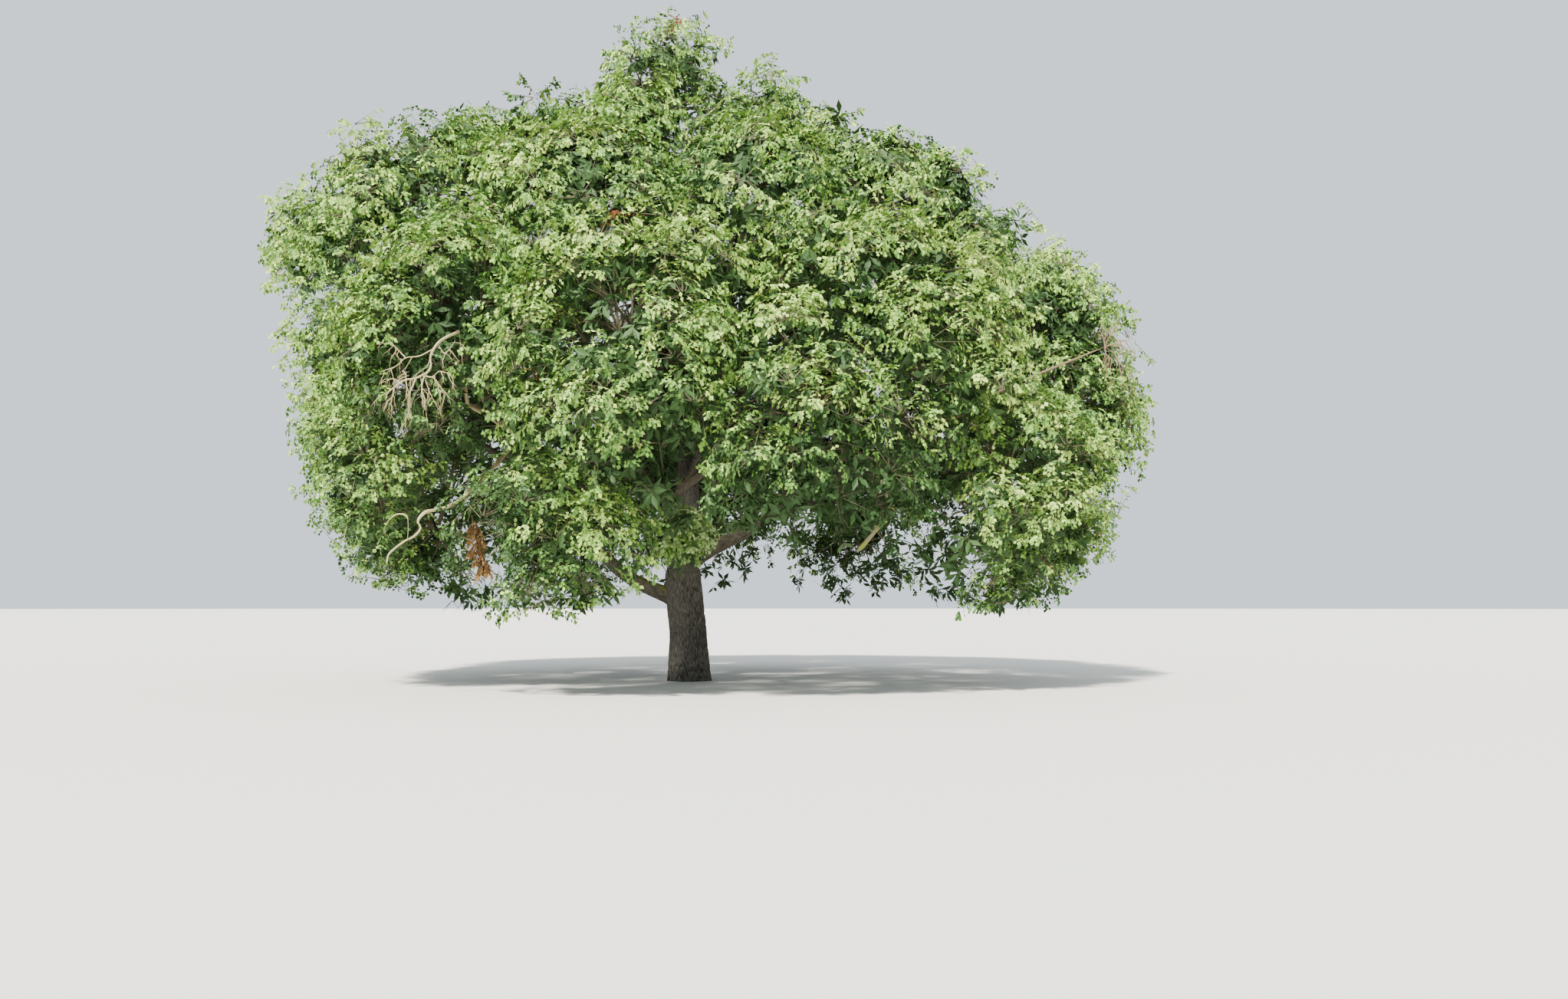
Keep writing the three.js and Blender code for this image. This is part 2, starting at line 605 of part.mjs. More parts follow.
function addPiece(name, solid, material) {
  const mesh = new THREE.Mesh(toGeometry(solid), material);
  mesh.name = name;
  tree.add(mesh);
}

for (const { item, solid } of woodSolids) {
  addPiece(item.name, solid, item === trunk ? bark : boughBark);
}
for (const mass of leafy) addPiece(mass.name, massSolid(mass), foliage);
addPiece(deadBranch.name, massSolid(deadBranch), deadWood);
addPiece(bareTwigs.name, massSolid(bareTwigs), deadWood);
addPiece(deadSpray.name, massSolid(deadSpray), deadLeaf);

export default tree;
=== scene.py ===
"""A broad old oak of open ground in full leaf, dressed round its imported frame.

Metres, +Z up, the origin in the middle of the flat cut under the trunk. The front is -Y.
"""

import math
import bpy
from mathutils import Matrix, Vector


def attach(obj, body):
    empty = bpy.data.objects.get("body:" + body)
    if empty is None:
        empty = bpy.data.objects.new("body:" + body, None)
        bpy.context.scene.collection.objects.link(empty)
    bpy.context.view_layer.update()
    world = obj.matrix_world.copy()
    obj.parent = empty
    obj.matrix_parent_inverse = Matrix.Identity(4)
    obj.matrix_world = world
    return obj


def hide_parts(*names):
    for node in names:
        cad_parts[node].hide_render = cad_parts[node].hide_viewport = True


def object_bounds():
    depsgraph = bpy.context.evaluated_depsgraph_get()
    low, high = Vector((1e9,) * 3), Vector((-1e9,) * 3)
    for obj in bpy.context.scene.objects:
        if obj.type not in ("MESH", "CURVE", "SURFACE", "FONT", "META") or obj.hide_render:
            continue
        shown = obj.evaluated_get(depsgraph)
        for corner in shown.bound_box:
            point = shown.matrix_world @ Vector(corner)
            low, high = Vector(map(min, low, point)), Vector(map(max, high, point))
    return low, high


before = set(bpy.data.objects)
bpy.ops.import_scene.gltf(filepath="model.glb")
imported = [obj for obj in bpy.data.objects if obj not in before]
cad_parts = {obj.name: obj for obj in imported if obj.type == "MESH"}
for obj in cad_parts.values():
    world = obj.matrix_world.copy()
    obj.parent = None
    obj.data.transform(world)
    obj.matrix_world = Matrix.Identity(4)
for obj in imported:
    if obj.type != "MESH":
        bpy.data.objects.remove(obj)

from types import SimpleNamespace

import bpy
import numpy as np

CAD_BOX = [list(corner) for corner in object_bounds()]


# Trunk
# The short thick bole of an old oak: solid wood that leans a little to the left, forks low and
# goes on above the fork as one thinner leader. All that grows on it starts at its middle line.

TRUNK_HEIGHT = 8.6
FOOT_RADIUS = 0.475
FORK_HEIGHT = 2.6
TRUNK_TOP_RADIUS = 0.12
TRUNK_LEAN = -0.18
LEADER_SWAY = 0.12
TRUNK_STUB = 0.08  # the middle line starts this far under the ground
SCATTER = (127.1, 311.7, 74.7)  # odd steps along a fast wave, so that no order shows
WAVE_HEIGHT = 43758.5453
UP = np.array([0.0, 0.0, 1.0])


def chance(index, channel, seed=0):
    """A number from 0 to 1 that is the same on every run, as the solids deal it."""
    angle = index * SCATTER[0] + channel * SCATTER[1] + seed * SCATTER[2]
    wave = np.sin(angle) * WAVE_HEIGHT
    return wave - np.floor(wave)


def swing(index, channel):
    """The same, from -1 to 1."""
    return 2 * chance(index, channel) - 1


def unit(vectors):
    """Vectors of length 1, one a row."""
    return vectors / np.maximum(np.linalg.norm(vectors, axis=-1, keepdims=True), 1e-9)


class Limb:
    """A limb's middle line, through a few points and evenly paced, and its thickness."""

    samples = 201  # points along the line that its length is measured by
    nudge = 0.005  # the share of its length to each side that a heading is taken over

    def __init__(self, name, points, radius, tip_radius):
        self.name = name
        self.radius = radius
        self.tip_radius = tip_radius
        points = np.array(points, float)
        before = 2 * points[0] - points[1]
        after = 2 * points[-1] - points[-2]
        self.points = np.vstack([before, points, after])
        self.steps = np.linalg.norm(np.diff(self.points, axis=0), axis=1) ** 0.5
        self.pace = np.linspace(0, 1, self.samples)
        line = self.raw(self.pace)
        run = np.linalg.norm(np.diff(line, axis=0), axis=1)
        self.run = np.concatenate([[0], np.cumsum(run)])
        self.length = self.run[-1]

    def raw(self, pace):
        """Points of the smooth curve, unevenly paced. Each lies between its b and c."""
        last = len(self.points) - 4
        position = np.asarray(pace, float) * (last + 1)
        span = np.clip(position.astype(int), 0, last)
        t = (position - span)[:, None]
        a, b, c, d = (self.points[span + k] for k in range(4))
        ab, bc, cd = (self.steps[span + k][:, None] for k in range(3))
        start = ((b - a) / ab - (c - a) / (ab + bc) + (c - b) / bc) * bc
        end = ((c - b) / bc - (d - b) / (bc + cd) + (d - c) / cd) * bc
        square = -3 * b + 3 * c - 2 * start - end
        cube = 2 * b - 2 * c + start + end
        return b + start * t + square * t**2 + cube * t**3

    def at(self, share):
        """Points at shares of the limb's length."""
        pace = np.interp(np.atleast_1d(share), self.run / self.length, self.pace)
        return self.raw(pace)

    def heading(self, share):
        """Directions of growth at shares of the limb's length."""
        share = np.atleast_1d(np.asarray(share, float))
        low = np.clip(share - self.nudge, 0, 1)
        high = np.clip(share + self.nudge, 0, 1)
        return unit(self.at(high) - self.at(low))


trunk = Limb("trunk", [
    (0, 0, -TRUNK_STUB),
    (0.3 * TRUNK_LEAN, 0, 0.5 * FORK_HEIGHT),
    (TRUNK_LEAN, 0, FORK_HEIGHT),
    (0.5 * TRUNK_LEAN, LEADER_SWAY, 0.55 * TRUNK_HEIGHT),
    (TRUNK_LEAN, 0.5 * LEADER_SWAY, TRUNK_HEIGHT),
], FOOT_RADIUS, TRUNK_TOP_RADIUS)


# Crown plan
# An open-grown oak fills a broad dome with leafy masses: here four tiers of them, a top and a
# clump at the fork. Every mass keeps to a space of its own inside the dome's outline.

# The dome's outline: heights, and how wide it is to the left, to the right and in depth
LEFT_PROFILE = [
    (1.3, 6.6), (2.6, 8.9), (5.0, 9.6), (8.0, 10.1), (10.5, 11.0), (12.0, 11.1),
    (13.6, 9.3), (14.5, 7.4), (15.0, 4.4), (16.2, 2.5), (17.0, 1.3),
]
RIGHT_PROFILE = [
    (1.3, 9.2), (3.0, 11.0), (5.5, 11.7), (8.0, 11.4), (10.0, 10.4), (11.5, 8.9),
    (13.3, 7.4), (14.2, 5.2), (15.5, 3.0), (16.2, 1.7), (17.0, 0.3),
]
DEPTH_PROFILE = [
    (1.3, 7.0), (3.5, 8.8), (6.0, 9.7), (8.5, 9.2), (11.0, 7.2), (13.5, 4.7),
    (15.2, 2.8), (17.0, 0.9),
]
# Each tier's height, the way its first mass points in degrees, how far its masses reach and
# stay inside the outline, how far each is lifted, and the reach of its smaller ones
TIERS = [
    SimpleNamespace(
        name="skirt", height=4.0, start=-108, reach=2.9, inset=2.45,
        lift=[-0.8, 1.5, 0, -0.3, 0.5, 0.9, 0.6, -0.3, 1.1], small={0: 2.15, 8: 2.5},
    ),
    SimpleNamespace(
        name="middle", height=7.5, start=-92, reach=3.5, inset=2.85,
        lift=[-0.9, -0.2, 0.2, -0.3, 0.1, -0.2, 0.3, 0, -0.3], small={},
    ),
    SimpleNamespace(
        name="shoulder", height=10.8, start=-110, reach=3.4, inset=2.85,
        lift=[0, 0.2, 0.2, 0.1, -0.1, 0.2, -0.2, 0.1], small={},
    ),
    SimpleNamespace(
        name="upper", height=12.7, start=-108, reach=3.1, inset=2.6,
        lift=[0.2, -1.1, -0.3, 0.2, -0.5], small={},
    ),
]
# The masses outside the tiers: name, middle and reach
OTHER_MASSES = [
    ("foliage_top_1", (-0.9, -0.3, 14.9), 2.3),
    ("foliage_top_2", (1.9, 0.3, 13.65), 2.3),
    ("foliage_top_3", (-4.3, 0.0, 13.3), 2.6),
    ("foliage_fork", (-0.08, -1.7, 3.35), 1.0),
    ("dead_branch", (-4.6, -7.5, 5.95), 1.5),
    ("bare_twigs", (9.0, -4.9, 7.2), 1.4),
    ("dead_leaf_spray", (-4.2, -3.7, 3.6), 1.3),
]
CELL_GAP = 0.12  # between two masses
CROWN_MIDDLE = 6.5
OUTWARD_RISE = 0.8  # how much a mass's height turns the way it faces
TIER_SWAY = 4  # degrees
TIER_CHANNEL = 10  # the first of the channels of chance that turn the masses of a tier
HALVINGS = 12  # steps in which the end of a space is found


def profile(table, height):
    """The crown's half width at a height."""
    levels, widths = zip(*table)
    return np.interp(height, levels, widths)


def crown_radius(azimuth, height):
    """How far the crown's outline is from the trunk's axis."""
    left = profile(LEFT_PROFILE, height)
    right = profile(RIGHT_PROFILE, height)
    across = np.where(np.cos(azimuth) < 0, left, right)
    deep = profile(DEPTH_PROFILE, height)
    return 1 / np.hypot(np.cos(azimuth) / across, np.sin(azimuth) / deep)


def inside_crown(points):
    """Which of the points lie within the crown's outline."""
    azimuth = np.arctan2(points[:, 1], points[:, 0])
    height = points[:, 2]
    level = (height > LEFT_PROFILE[0][0]) & (height < LEFT_PROFILE[-1][0])
    return level & (np.hypot(points[:, 0], points[:, 1]) < crown_radius(azimuth, height))


def tier_masses(tier, tier_index):
    """The masses of one tier, evenly round the trunk but for a small sway."""
    masses = []
    for index, lift in enumerate(tier.lift):
        turn = tier.start + 360 / len(tier.lift) * index
        azimuth = math.radians(turn + TIER_SWAY * swing(index, TIER_CHANNEL + tier_index))
        height = tier.height + lift
        out = float(crown_radius(azimuth, height)) - tier.inset
        hub = np.array([out * math.cos(azimuth), out * math.sin(azimuth), height])
        reach = tier.small.get(index, tier.reach)
        masses.append(SimpleNamespace(
            name=f"foliage_{tier.name}_{index + 1}", hub=hub, reach=reach,
        ))
    return masses


skirt, middle, shoulder, upper = (tier_masses(tier, i) for i, tier in enumerate(TIERS))
others = [SimpleNamespace(name=n, hub=np.array(at), reach=r) for n, at, r in OTHER_MASSES]
top = others[:3]
fork_clump, dead_branch, bare_twigs, dead_spray = others[3:]
leafy = [*skirt, *middle, *shoulder, *upper, *top, fork_clump]
masses = [*leafy, dead_branch, bare_twigs, dead_spray]

for index, mass in enumerate(masses):
    mass.index = index
    neighbours = [other for other in masses if other is not mass]
    between = np.array([other.hub - mass.hub for other in neighbours])
    distance = np.linalg.norm(between, axis=1)
    reaches = np.array([other.reach for other in neighbours])
    mass.normals = between / distance[:, None]
    mass.limits = distance * mass.reach / (mass.reach + reaches) - CELL_GAP / 2
    out = mass.hub * np.array([1, 1, OUTWARD_RISE])
    out[2] -= OUTWARD_RISE * CROWN_MIDDLE
    mass.outward = unit(out)


def in_space(mass, points, spare=0.0, depth=None):
    """Which of the points lie in a mass's own space, or up to spare outside it, and at
    least a depth inside the crown's outline."""
    offset = points - mass.hub
    inside = np.linalg.norm(offset, axis=1) < mass.reach + spare
    inside &= (offset @ mass.normals.T < mass.limits + spare).all(axis=1)
    if depth is not None:
        outward = unit(points - np.array([0, 0, CROWN_MIDDLE]))
        points = points + depth[:, None] * outward
    return inside & inside_crown(points)


def space_along(mass, directions, depth=None):
    """How far a mass's space goes from its middle along directions."""
    near = np.zeros(len(directions))
    far = np.full(len(directions), mass.reach)
    for _ in range(HALVINGS):
        half = (near + far) / 2
        inside = in_space(mass, mass.hub + directions * half[:, None], 0.0, depth)
        near = np.where(inside, half, near)
        far = np.where(inside, far, half)
    return near


# Boughs
# Heavy limbs that leave the trunk low down, rise and spread through the hollow inside of
# the crown. Each is one tapering limb that ends where its masses of foliage begin.

LOW_BOUGH = SimpleNamespace(radius=0.185, side_radius=0.12, tip=0.082, elbow=1.5, rise=0.7)
HIGH_BOUGH = SimpleNamespace(radius=0.15, side_radius=0.105, tip=0.075, elbow=0.9, rise=0.9)
SIDE_ELBOW_SHARE = 0.3
SIDE_ELBOW_SWAY = 0.25
BEND_SHARE = 0.55
BEND_SWAY = 0.35
LONE_TIP_DEPTH = 0.85
TWIN_TIP_DEPTH = 0.6
# The bough that carries each bough, none for the trunk, and where it leaves its carrier: a
# height on the trunk, or a share of a bough's length
LOW_CARRIERS = [None, 0, None, 2, 5, None, 5, None, 7]
LOW_SEATS = [3.3, 0.42, 2.9, 0.36, 0.4, 3.7, 0.45, 1.95, 0.4]
HIGH_CARRIERS = [1, None, 3, None, 5, None, 7, None]
HIGH_SEATS = [0.35, 4.7, 0.36, 5.5, 0.34, 6.3, 0.35, 7.0]
TOP_SEATS = [8.35, 7.7]
# The upper mass that a high bough feeds besides its shoulder mass
UPPER_PARTNER = {0: 0, 2: 1, 3: 2, 5: 3, 6: 4}
# The channels of chance for elbow, bend and lift, and the first top bough's place in them
ELBOW, BEND, LIFT = 21, 22, 23
TOP_INDEX = 30


def tip_for(fed):
    """Where a bough ends: inside the crown, between the masses that it feeds."""
    first = fed[0]
    inward = -first.outward
    if len(fed) == 1:
        return first.hub + LONE_TIP_DEPTH * first.reach * inward
    between = (first.hub + fed[1].hub) / 2
    across = unit(fed[1].hub - first.hub)
    inward = unit(inward - np.dot(inward, across) * across)
    return between + TWIN_TIP_DEPTH * first.reach * inward


def bough(name, fed, carrier, seat, size, index):
    """A bough from its carrier's middle line to its tip, with an elbow and a bend."""
    tip = tip_for(fed)
    root = carrier.at(seat)[0] if carrier else trunk.at(seat / TRUNK_HEIGHT)[0]
    out = unit((tip - root) * np.array([1, 1, 0]))
    side = np.cross(UP, out)
    if carrier:
        elbow = root + (tip - root) * SIDE_ELBOW_SHARE
        elbow = elbow + side * SIDE_ELBOW_SWAY * swing(index, ELBOW)
    else:
        elbow = root + out * size.elbow + UP * size.rise
    bend = elbow + (tip - elbow) * BEND_SHARE + side * BEND_SWAY * swing(index, BEND)
    bend = bend + UP * BEND_SWAY * chance(index, LIFT)
    item = Limb(name, [root, elbow, bend, tip], size.side_radius if carrier else size.radius,
                size.tip)
    item.fed = fed
    return item


def bough_tier(kind, fed_by, carriers, seats, size):
    """A tier of boughs, those on the trunk first, so that side boughs find their carrier."""
    tier = {}
    order = sorted(range(len(carriers)), key=lambda index: carriers[index] is not None)
    for index in order:
        carrier = None if carriers[index] is None else tier[carriers[index]]
        name = f"bough_{kind}_{index + 1}"
        tier[index] = bough(name, fed_by(index), carrier, seats[index], size, index)
    return [tier[index] for index in order]


def high_fed(index):
    """A high bough feeds its shoulder mass and, on some, an upper one."""
    partner = UPPER_PARTNER.get(index)
    return [shoulder[index]] + ([] if partner is None else [upper[partner]])


low_boughs = bough_tier(
    "low", lambda index: [skirt[index], middle[index]], LOW_CARRIERS, LOW_SEATS, LOW_BOUGH,
)
high_boughs = bough_tier("high", high_fed, HIGH_CARRIERS, HIGH_SEATS, HIGH_BOUGH)
top_boughs = [
    bough("bough_top_1", [top[0], top[2]], None, TOP_SEATS[0], HIGH_BOUGH, TOP_INDEX),
    bough("bough_top_2", [top[1]], None, TOP_SEATS[1], HIGH_BOUGH, TOP_INDEX + 1),
]
boughs = [*low_boughs, *high_boughs, *top_boughs]


# Bark
# The rough skin of the trunk and boughs: dead cork that has split into upright plates as the
# wood under it grew. It flares over the roots and swells into a collar round each bough.

FORK_RADIUS = 0.44
LEADER_TAPER = 0.6
ROOT_FLARE = 0.2
ROOT_FLARE_HEIGHT = 0.42
ROOT_COUNT = 5
ROOT_HOLLOW = 0.35
TRUNK_SIDES = 136
TRUNK_ROW = 0.034  # the height of a row of faces up to a little over the fork
TRUNK_ROWS_END = FORK_HEIGHT + 0.9
LEADER_ROW = 0.07
LEADER_RELIEF = 0.35  # the least relief on the leader, as a share of the trunk's
TRUNK_PLATES = 34  # bark plates round the trunk, each about 85 mm wide
PLATE_LENGTH = 0.27
PLATE_DEPTH = 0.022
PLATE_STRAY = 0.85  # how far a plate may lie out of its place, as a share of its width
SPLIT_WIDTH = 0.4  # as a share of a plate's width
SPLIT_EDGE = 0.7  # below 1, so that splits have steep sides
FINE_RELIEF = 0.3  # plates of half the width stand out by this share of the depth
PLATE_SWAY = 0.9  # rows of plates sway to the side by this share of a plate's width
SWAYS = 8  # round the trunk
SWAY_LENGTH = 2.2  # in lengths of a plate, as is that of the burrs
BURRS = 6
BURR_LENGTH = 2
BURR_DEPTH = 0.03
BOUGH_SIDES = 22
BOUGH_ROW = 0.09
BOUGH_PLATES = 11
BOUGH_PLATE_LENGTH = 0.7 * PLATE_LENGTH
BOUGH_RELIEF = (0.2, 0.8)  # the least and most relief, as shares of the trunk's
RELIEF_GROWTH = 1.6  # how fast it grows between them with a bough's radius
COLLAR_SWELL = 0.5  # how much a limb widens where it leaves its carrier
COLLAR_START = 0.2
COLLAR_LENGTH = 0.3
# The trunk's own swelling round a bough: as a share of the bough's radius, half its width in
# radians, how far over the bough's foot it is thickest, and half its height
TRUNK_COLLAR = 0.45
TRUNK_COLLAR_TURN = 0.55
TRUNK_COLLAR_RISE = 0.15
TRUNK_COLLAR_CLIMB = 0.35
ON_TRUNK = 0.05  # a bough whose foot is this near the trunk's middle line leaves the trunk
FOOT_SHARE = 0.12  # the share of a bough that shows which way it leaves
# How far the middles of the trunk's top and of a bough's end stand out
TOP_POINT, TIP_POINT = 0.02, 0.03
STEEP = 0.9  # limbs that rise by more of their length than this are framed from +X


def plate_height(around, along, count, seed):
    """Bark plates: 1 on a plate and 0 in the split between two, count of them round."""
    column = np.floor(around)
    row = np.floor(along)
    nearest = np.full(around.shape, 9.0)
    second = np.full(around.shape, 9.0)
    for across in (-1, 0, 1):
        for up in (-1, 0, 1):
            cell = np.mod(column + across, count)
            x = column + across + 0.5 + PLATE_STRAY * (chance(cell, row + up, seed) - 0.5)
            y = row + up + 0.5 + PLATE_STRAY * (chance(cell, row + up, seed + 1) - 0.5)
            distance = np.hypot(around - x, along - y)
            second = np.minimum(second, np.maximum(nearest, distance))
            nearest = np.minimum(nearest, distance)
    return np.clip((second - nearest) / SPLIT_WIDTH, 0, 1) ** SPLIT_EDGE


def swells(around, along, count, seed):
    """Soft lumps from 0 to 1, count of them round."""
    column = np.floor(around)
    row = np.floor(along)
    x = around - column
    y = along - row
    x = x * x * (3 - 2 * x)
    y = y * y * (3 - 2 * y)
    corner = [
        chance(np.mod(column + i, count), row + j, seed) for j in (0, 1) for i in (0, 1)
    ]
    low = corner[0] * (1 - x) + corner[1] * x
    high = corner[2] * (1 - x) + corner[3] * x
    return low * (1 - y) + high * y


def barked(turns, metres, count, length, seed):
    """How far bark stands out of a limb, at turns round it and metres along it: plates that
    sway from side to side, finer plates on them and soft burrs under them."""
    sway = swells(turns * SWAYS, metres / (SWAY_LENGTH * length), SWAYS, seed + 5)
    sway = PLATE_SWAY * sway
    plates = plate_height(turns * count + sway, metres / length, count, seed)
    fine = plate_height(turns * count * 2 + 2 * sway, metres / length * 3, count * 2, seed + 9)
    lumps = swells(turns * BURRS, metres / (BURR_LENGTH * length), BURRS, seed + 13)
    return PLATE_DEPTH * (plates + FINE_RELIEF * fine - 1.0) + BURR_DEPTH * (lumps - 0.5)


def tube_faces(rings, sides):
    """Four cornered faces between rings, each ring's points in one run."""
    ring, side = np.meshgrid(np.arange(rings - 1), np.arange(sides), indexing="ij")
    ahead = (side + 1) % sides
    corners = [ring * sides + side, ring * sides + ahead]
    corners += [(ring + 1) * sides + ahead, (ring + 1) * sides + side]
    return np.stack(corners, axis=-1).reshape(-1, 4)


def cap_faces(start, sides, middle, flip):
    """Three cornered faces from a ring to a middle point."""
    side = np.arange(sides)
    ahead = (side + 1) % sides
    fan = np.stack([start + side, start + ahead, np.full(sides, middle)], axis=-1)
    return fan[:, ::-1] if flip else fan


def mesh_object(name, vertices, faces, materials, slots=None, smooth=False):
    """An object from arrays. faces is a list of arrays, each of faces with like corners."""
    mesh = bpy.data.meshes.new(name)
    corners = np.concatenate([part.ravel() for part in faces]).astype(np.int32)
    sizes = np.concatenate([np.full(len(part), part.shape[1]) for part in faces])
    starts = np.concatenate([[0], np.cumsum(sizes)[:-1]]).astype(np.int32)
    mesh.vertices.add(len(vertices))
    mesh.vertices.foreach_set("co", np.asarray(vertices, np.float32).ravel())
    mesh.loops.add(len(corners))
    mesh.loops.foreach_set("vertex_index", corners)
    mesh.polygons.add(len(sizes))
    mesh.polygons.foreach_set("loop_start", starts)
    if slots is not None:
        mesh.polygons.foreach_set("material_index", np.asarray(slots, np.int32))
    mesh.polygons.foreach_set("use_smooth", np.full(len(sizes), smooth))
    mesh.update(calc_edges=True)
    for material in materials:
        mesh.materials.append(material)
    piece = bpy.data.objects.new(name, mesh)
    bpy.context.scene.collection.objects.link(piece)
    return piece


def bark_attributes(piece, grain, relief):
    """Keeps, for the bark's patterns, where each point lies round and along its limb, and how
    high it stands, from 0 in a split to 1 on a plate."""
    attribute = piece.data.attributes.new("grain", "FLOAT_VECTOR", "POINT")
    attribute.data.foreach_set("vector", np.asarray(grain, np.float32).ravel())
    attribute = piece.data.attributes.new("relief", "FLOAT", "POINT")
    attribute.data.foreach_set("value", np.asarray(relief, np.float32))


def relief_share(relief):
    """That height for each point of a limb, and half of it for the middles of its two ends."""
    return np.concatenate([np.clip(relief / PLATE_DEPTH + 1.0, 0, 1).ravel(), [0.5, 0.5]])


def linear(code):
    """An sRGB hex colour as linear RGBA."""
    values = [int(code[i:i + 2], 16) / 255 for i in (1, 3, 5)]
    values = [v / 12.92 if v <= 0.04045 else ((v + 0.055) / 1.055) ** 2.4 for v in values]
    return (*values, 1.0)


def set_node(owner, node, settings, links=()):
    """Gives a node of a material or world its settings and links. Settings go to the node's
    own values or to its sockets, links to its sockets."""
    for key, value in settings.items():
        if isinstance(key, str) and hasattr(node, key):
            setattr(node, key, value)
        else:
            node.inputs[key].default_value = value
    for key, socket in dict(links).items():
        owner.node_tree.links.new(socket, node.inputs[key])
    return node


def add_node(material, kind, settings, links=()):
    """Adds a node with its settings and links."""
    return set_node(material, material.node_tree.nodes.new(kind), settings, links)


def new_material(name):
    """A material with an empty Principled shader, and that shader."""
    material = bpy.data.materials.new(name)
    material.use_nodes = True
    return material, material.node_tree.nodes["Principled BSDF"]


def bark_material(name, split, plate, pale, moss, moss_from):
    """Oak bark: dry, matt and deeply split, greyer on its plates, with lichen and moss. The
    splits are painted much darker than the plates: partly the bark's own colour, partly painted
    shade.
    """
    material, shader = new_material(name)
    grain = add_node(material, "ShaderNodeAttribute", {"attribute_name": "grain"})
    # Fine splits 18 mm apart and flakes 26 mm across, drawn out along the limb. Real ones are
    # 5 to 10 mm, too fine to show where the whole tree is in the picture
    stretched = add_node(
        material, "ShaderNodeMapping", {"Scale": (1.0, 1.0, 0.22)},
        {"Vector": grain.outputs["Vector"]},
    )
    splits = add_node(
        material, "ShaderNodeTexVoronoi", {"feature": "DISTANCE_TO_EDGE", "Scale": 55.0},
        {"Vector": stretched.outputs["Vector"]},
    )
    flakes = add_node(
        material, "ShaderNodeTexNoise", {"Scale": 38.0, "Detail": 6.0, "Roughness": 0.65},
        {"Vector": stretched.outputs["Vector"]},
    )
    # Moss comes in patches of about 310 mm
    patches = add_node(
        material, "ShaderNodeTexNoise", {"Scale": 3.2, "Detail": 3.0},
        {"Vector": grain.outputs["Vector"]},
    )
    depth = add_node(material, "ShaderNodeAttribute", {"attribute_name": "relief"})
    # Darker down in the splits, by the relief: partly the bark's own colour there, partly
    # painted shade
    wood = add_node(
        material, "ShaderNodeMix", {"data_type": "RGBA", 6: linear(split), 7: linear(plate)},
        {"Factor": depth.outputs["Fac"]},
    )
    flaked = add_node(
        material, "ShaderNodeMapRange", {"From Min": 0.42, "From Max": 0.72, "To Max": 0.75},
        {"Value": flakes.outputs["Fac"]},
    )
    lichen = add_node(
        material, "ShaderNodeMix", {"data_type": "RGBA", 7: linear(pale)},
        {"Factor": flaked.outputs["Result"], 6: wood.outputs[2]},
    )
    # Moss grows on what faces the sky
    place = add_node(material, "ShaderNodeNewGeometry", {})
    facing = add_node(
        material, "ShaderNodeSeparateXYZ", {}, {"Vector": place.outputs["Normal"]},
    )
    lit = add_node(
        material, "ShaderNodeMath", {"operation": "MULTIPLY_ADD", 1: 0.35},
        {0: facing.outputs["Z"], 2: patches.outputs["Fac"]},
    )
    mossy = add_node(
        material, "ShaderNodeMapRange",
        {"From Min": moss_from, "From Max": moss_from + 0.14, "To Max": 0.8},
        {"Value": lit.outputs["Value"]},
    )
    colour = add_node(
        material, "ShaderNodeMix", {"data_type": "RGBA", 7: linear(moss)},
        {"Factor": mossy.outputs["Result"], 6: lichen.outputs[2]},
    )
    cracks = add_node(
        material, "ShaderNodeMapRange", {"From Max": 0.12},
        {"Value": splits.outputs["Distance"]},
    )
    height = add_node(
        material, "ShaderNodeMath", {"operation": "MULTIPLY_ADD", 1: 0.5},
        {0: flakes.outputs["Fac"], 2: cracks.outputs["Result"]},
    )
    bump = add_node(
        material, "ShaderNodeBump", {"Strength": 0.7, "Distance": 0.006},
        {"Height": height.outputs["Value"]},
    )
    set_node(
        material, shader, {"Roughness": 0.93, "Specular IOR Level": 0.25},
        {"Base Color": colour.outputs[2], "Normal": bump.outputs["Normal"]},
    )
    return material


def trunk_radius(height, angle):
    """The trunk's smooth radius at a height and an angle, root flare and taper included."""
    below = np.clip(height / FORK_HEIGHT, 0, 1)
    above = np.clip((height - FORK_HEIGHT) / (TRUNK_HEIGHT - FORK_HEIGHT), 0, 1)
    shaft = FOOT_RADIUS + (FORK_RADIUS - FOOT_RADIUS) * below
    leader = shaft + (TRUNK_TOP_RADIUS - shaft) * above**LEADER_TAPER
    roots = 1 + ROOT_HOLLOW * (np.cos(ROOT_COUNT * angle) - 1)
    return leader * (1 + ROOT_FLARE * roots * np.exp(-height / ROOT_FLARE_HEIGHT))


def collars(height, azimuth):
    """The swelling round each bough that leaves the trunk."""
    swelling = np.zeros_like(height)
    for item in boughs:
        root = item.at(0)[0]
        if np.linalg.norm(root - trunk.at(root[2] / TRUNK_HEIGHT)[0]) > ON_TRUNK:
            continue
        way = item.at(FOOT_SHARE)[0] - root
        turn = np.angle(np.exp(1j * (azimuth - math.atan2(way[1], way[0]))))
        climb = (height - root[2] - TRUNK_COLLAR_RISE) / TRUNK_COLLAR_CLIMB
        fall = np.exp(-(turn / TRUNK_COLLAR_TURN) ** 2 - climb**2)
        swelling += TRUNK_COLLAR * item.radius * fall
    return swelling


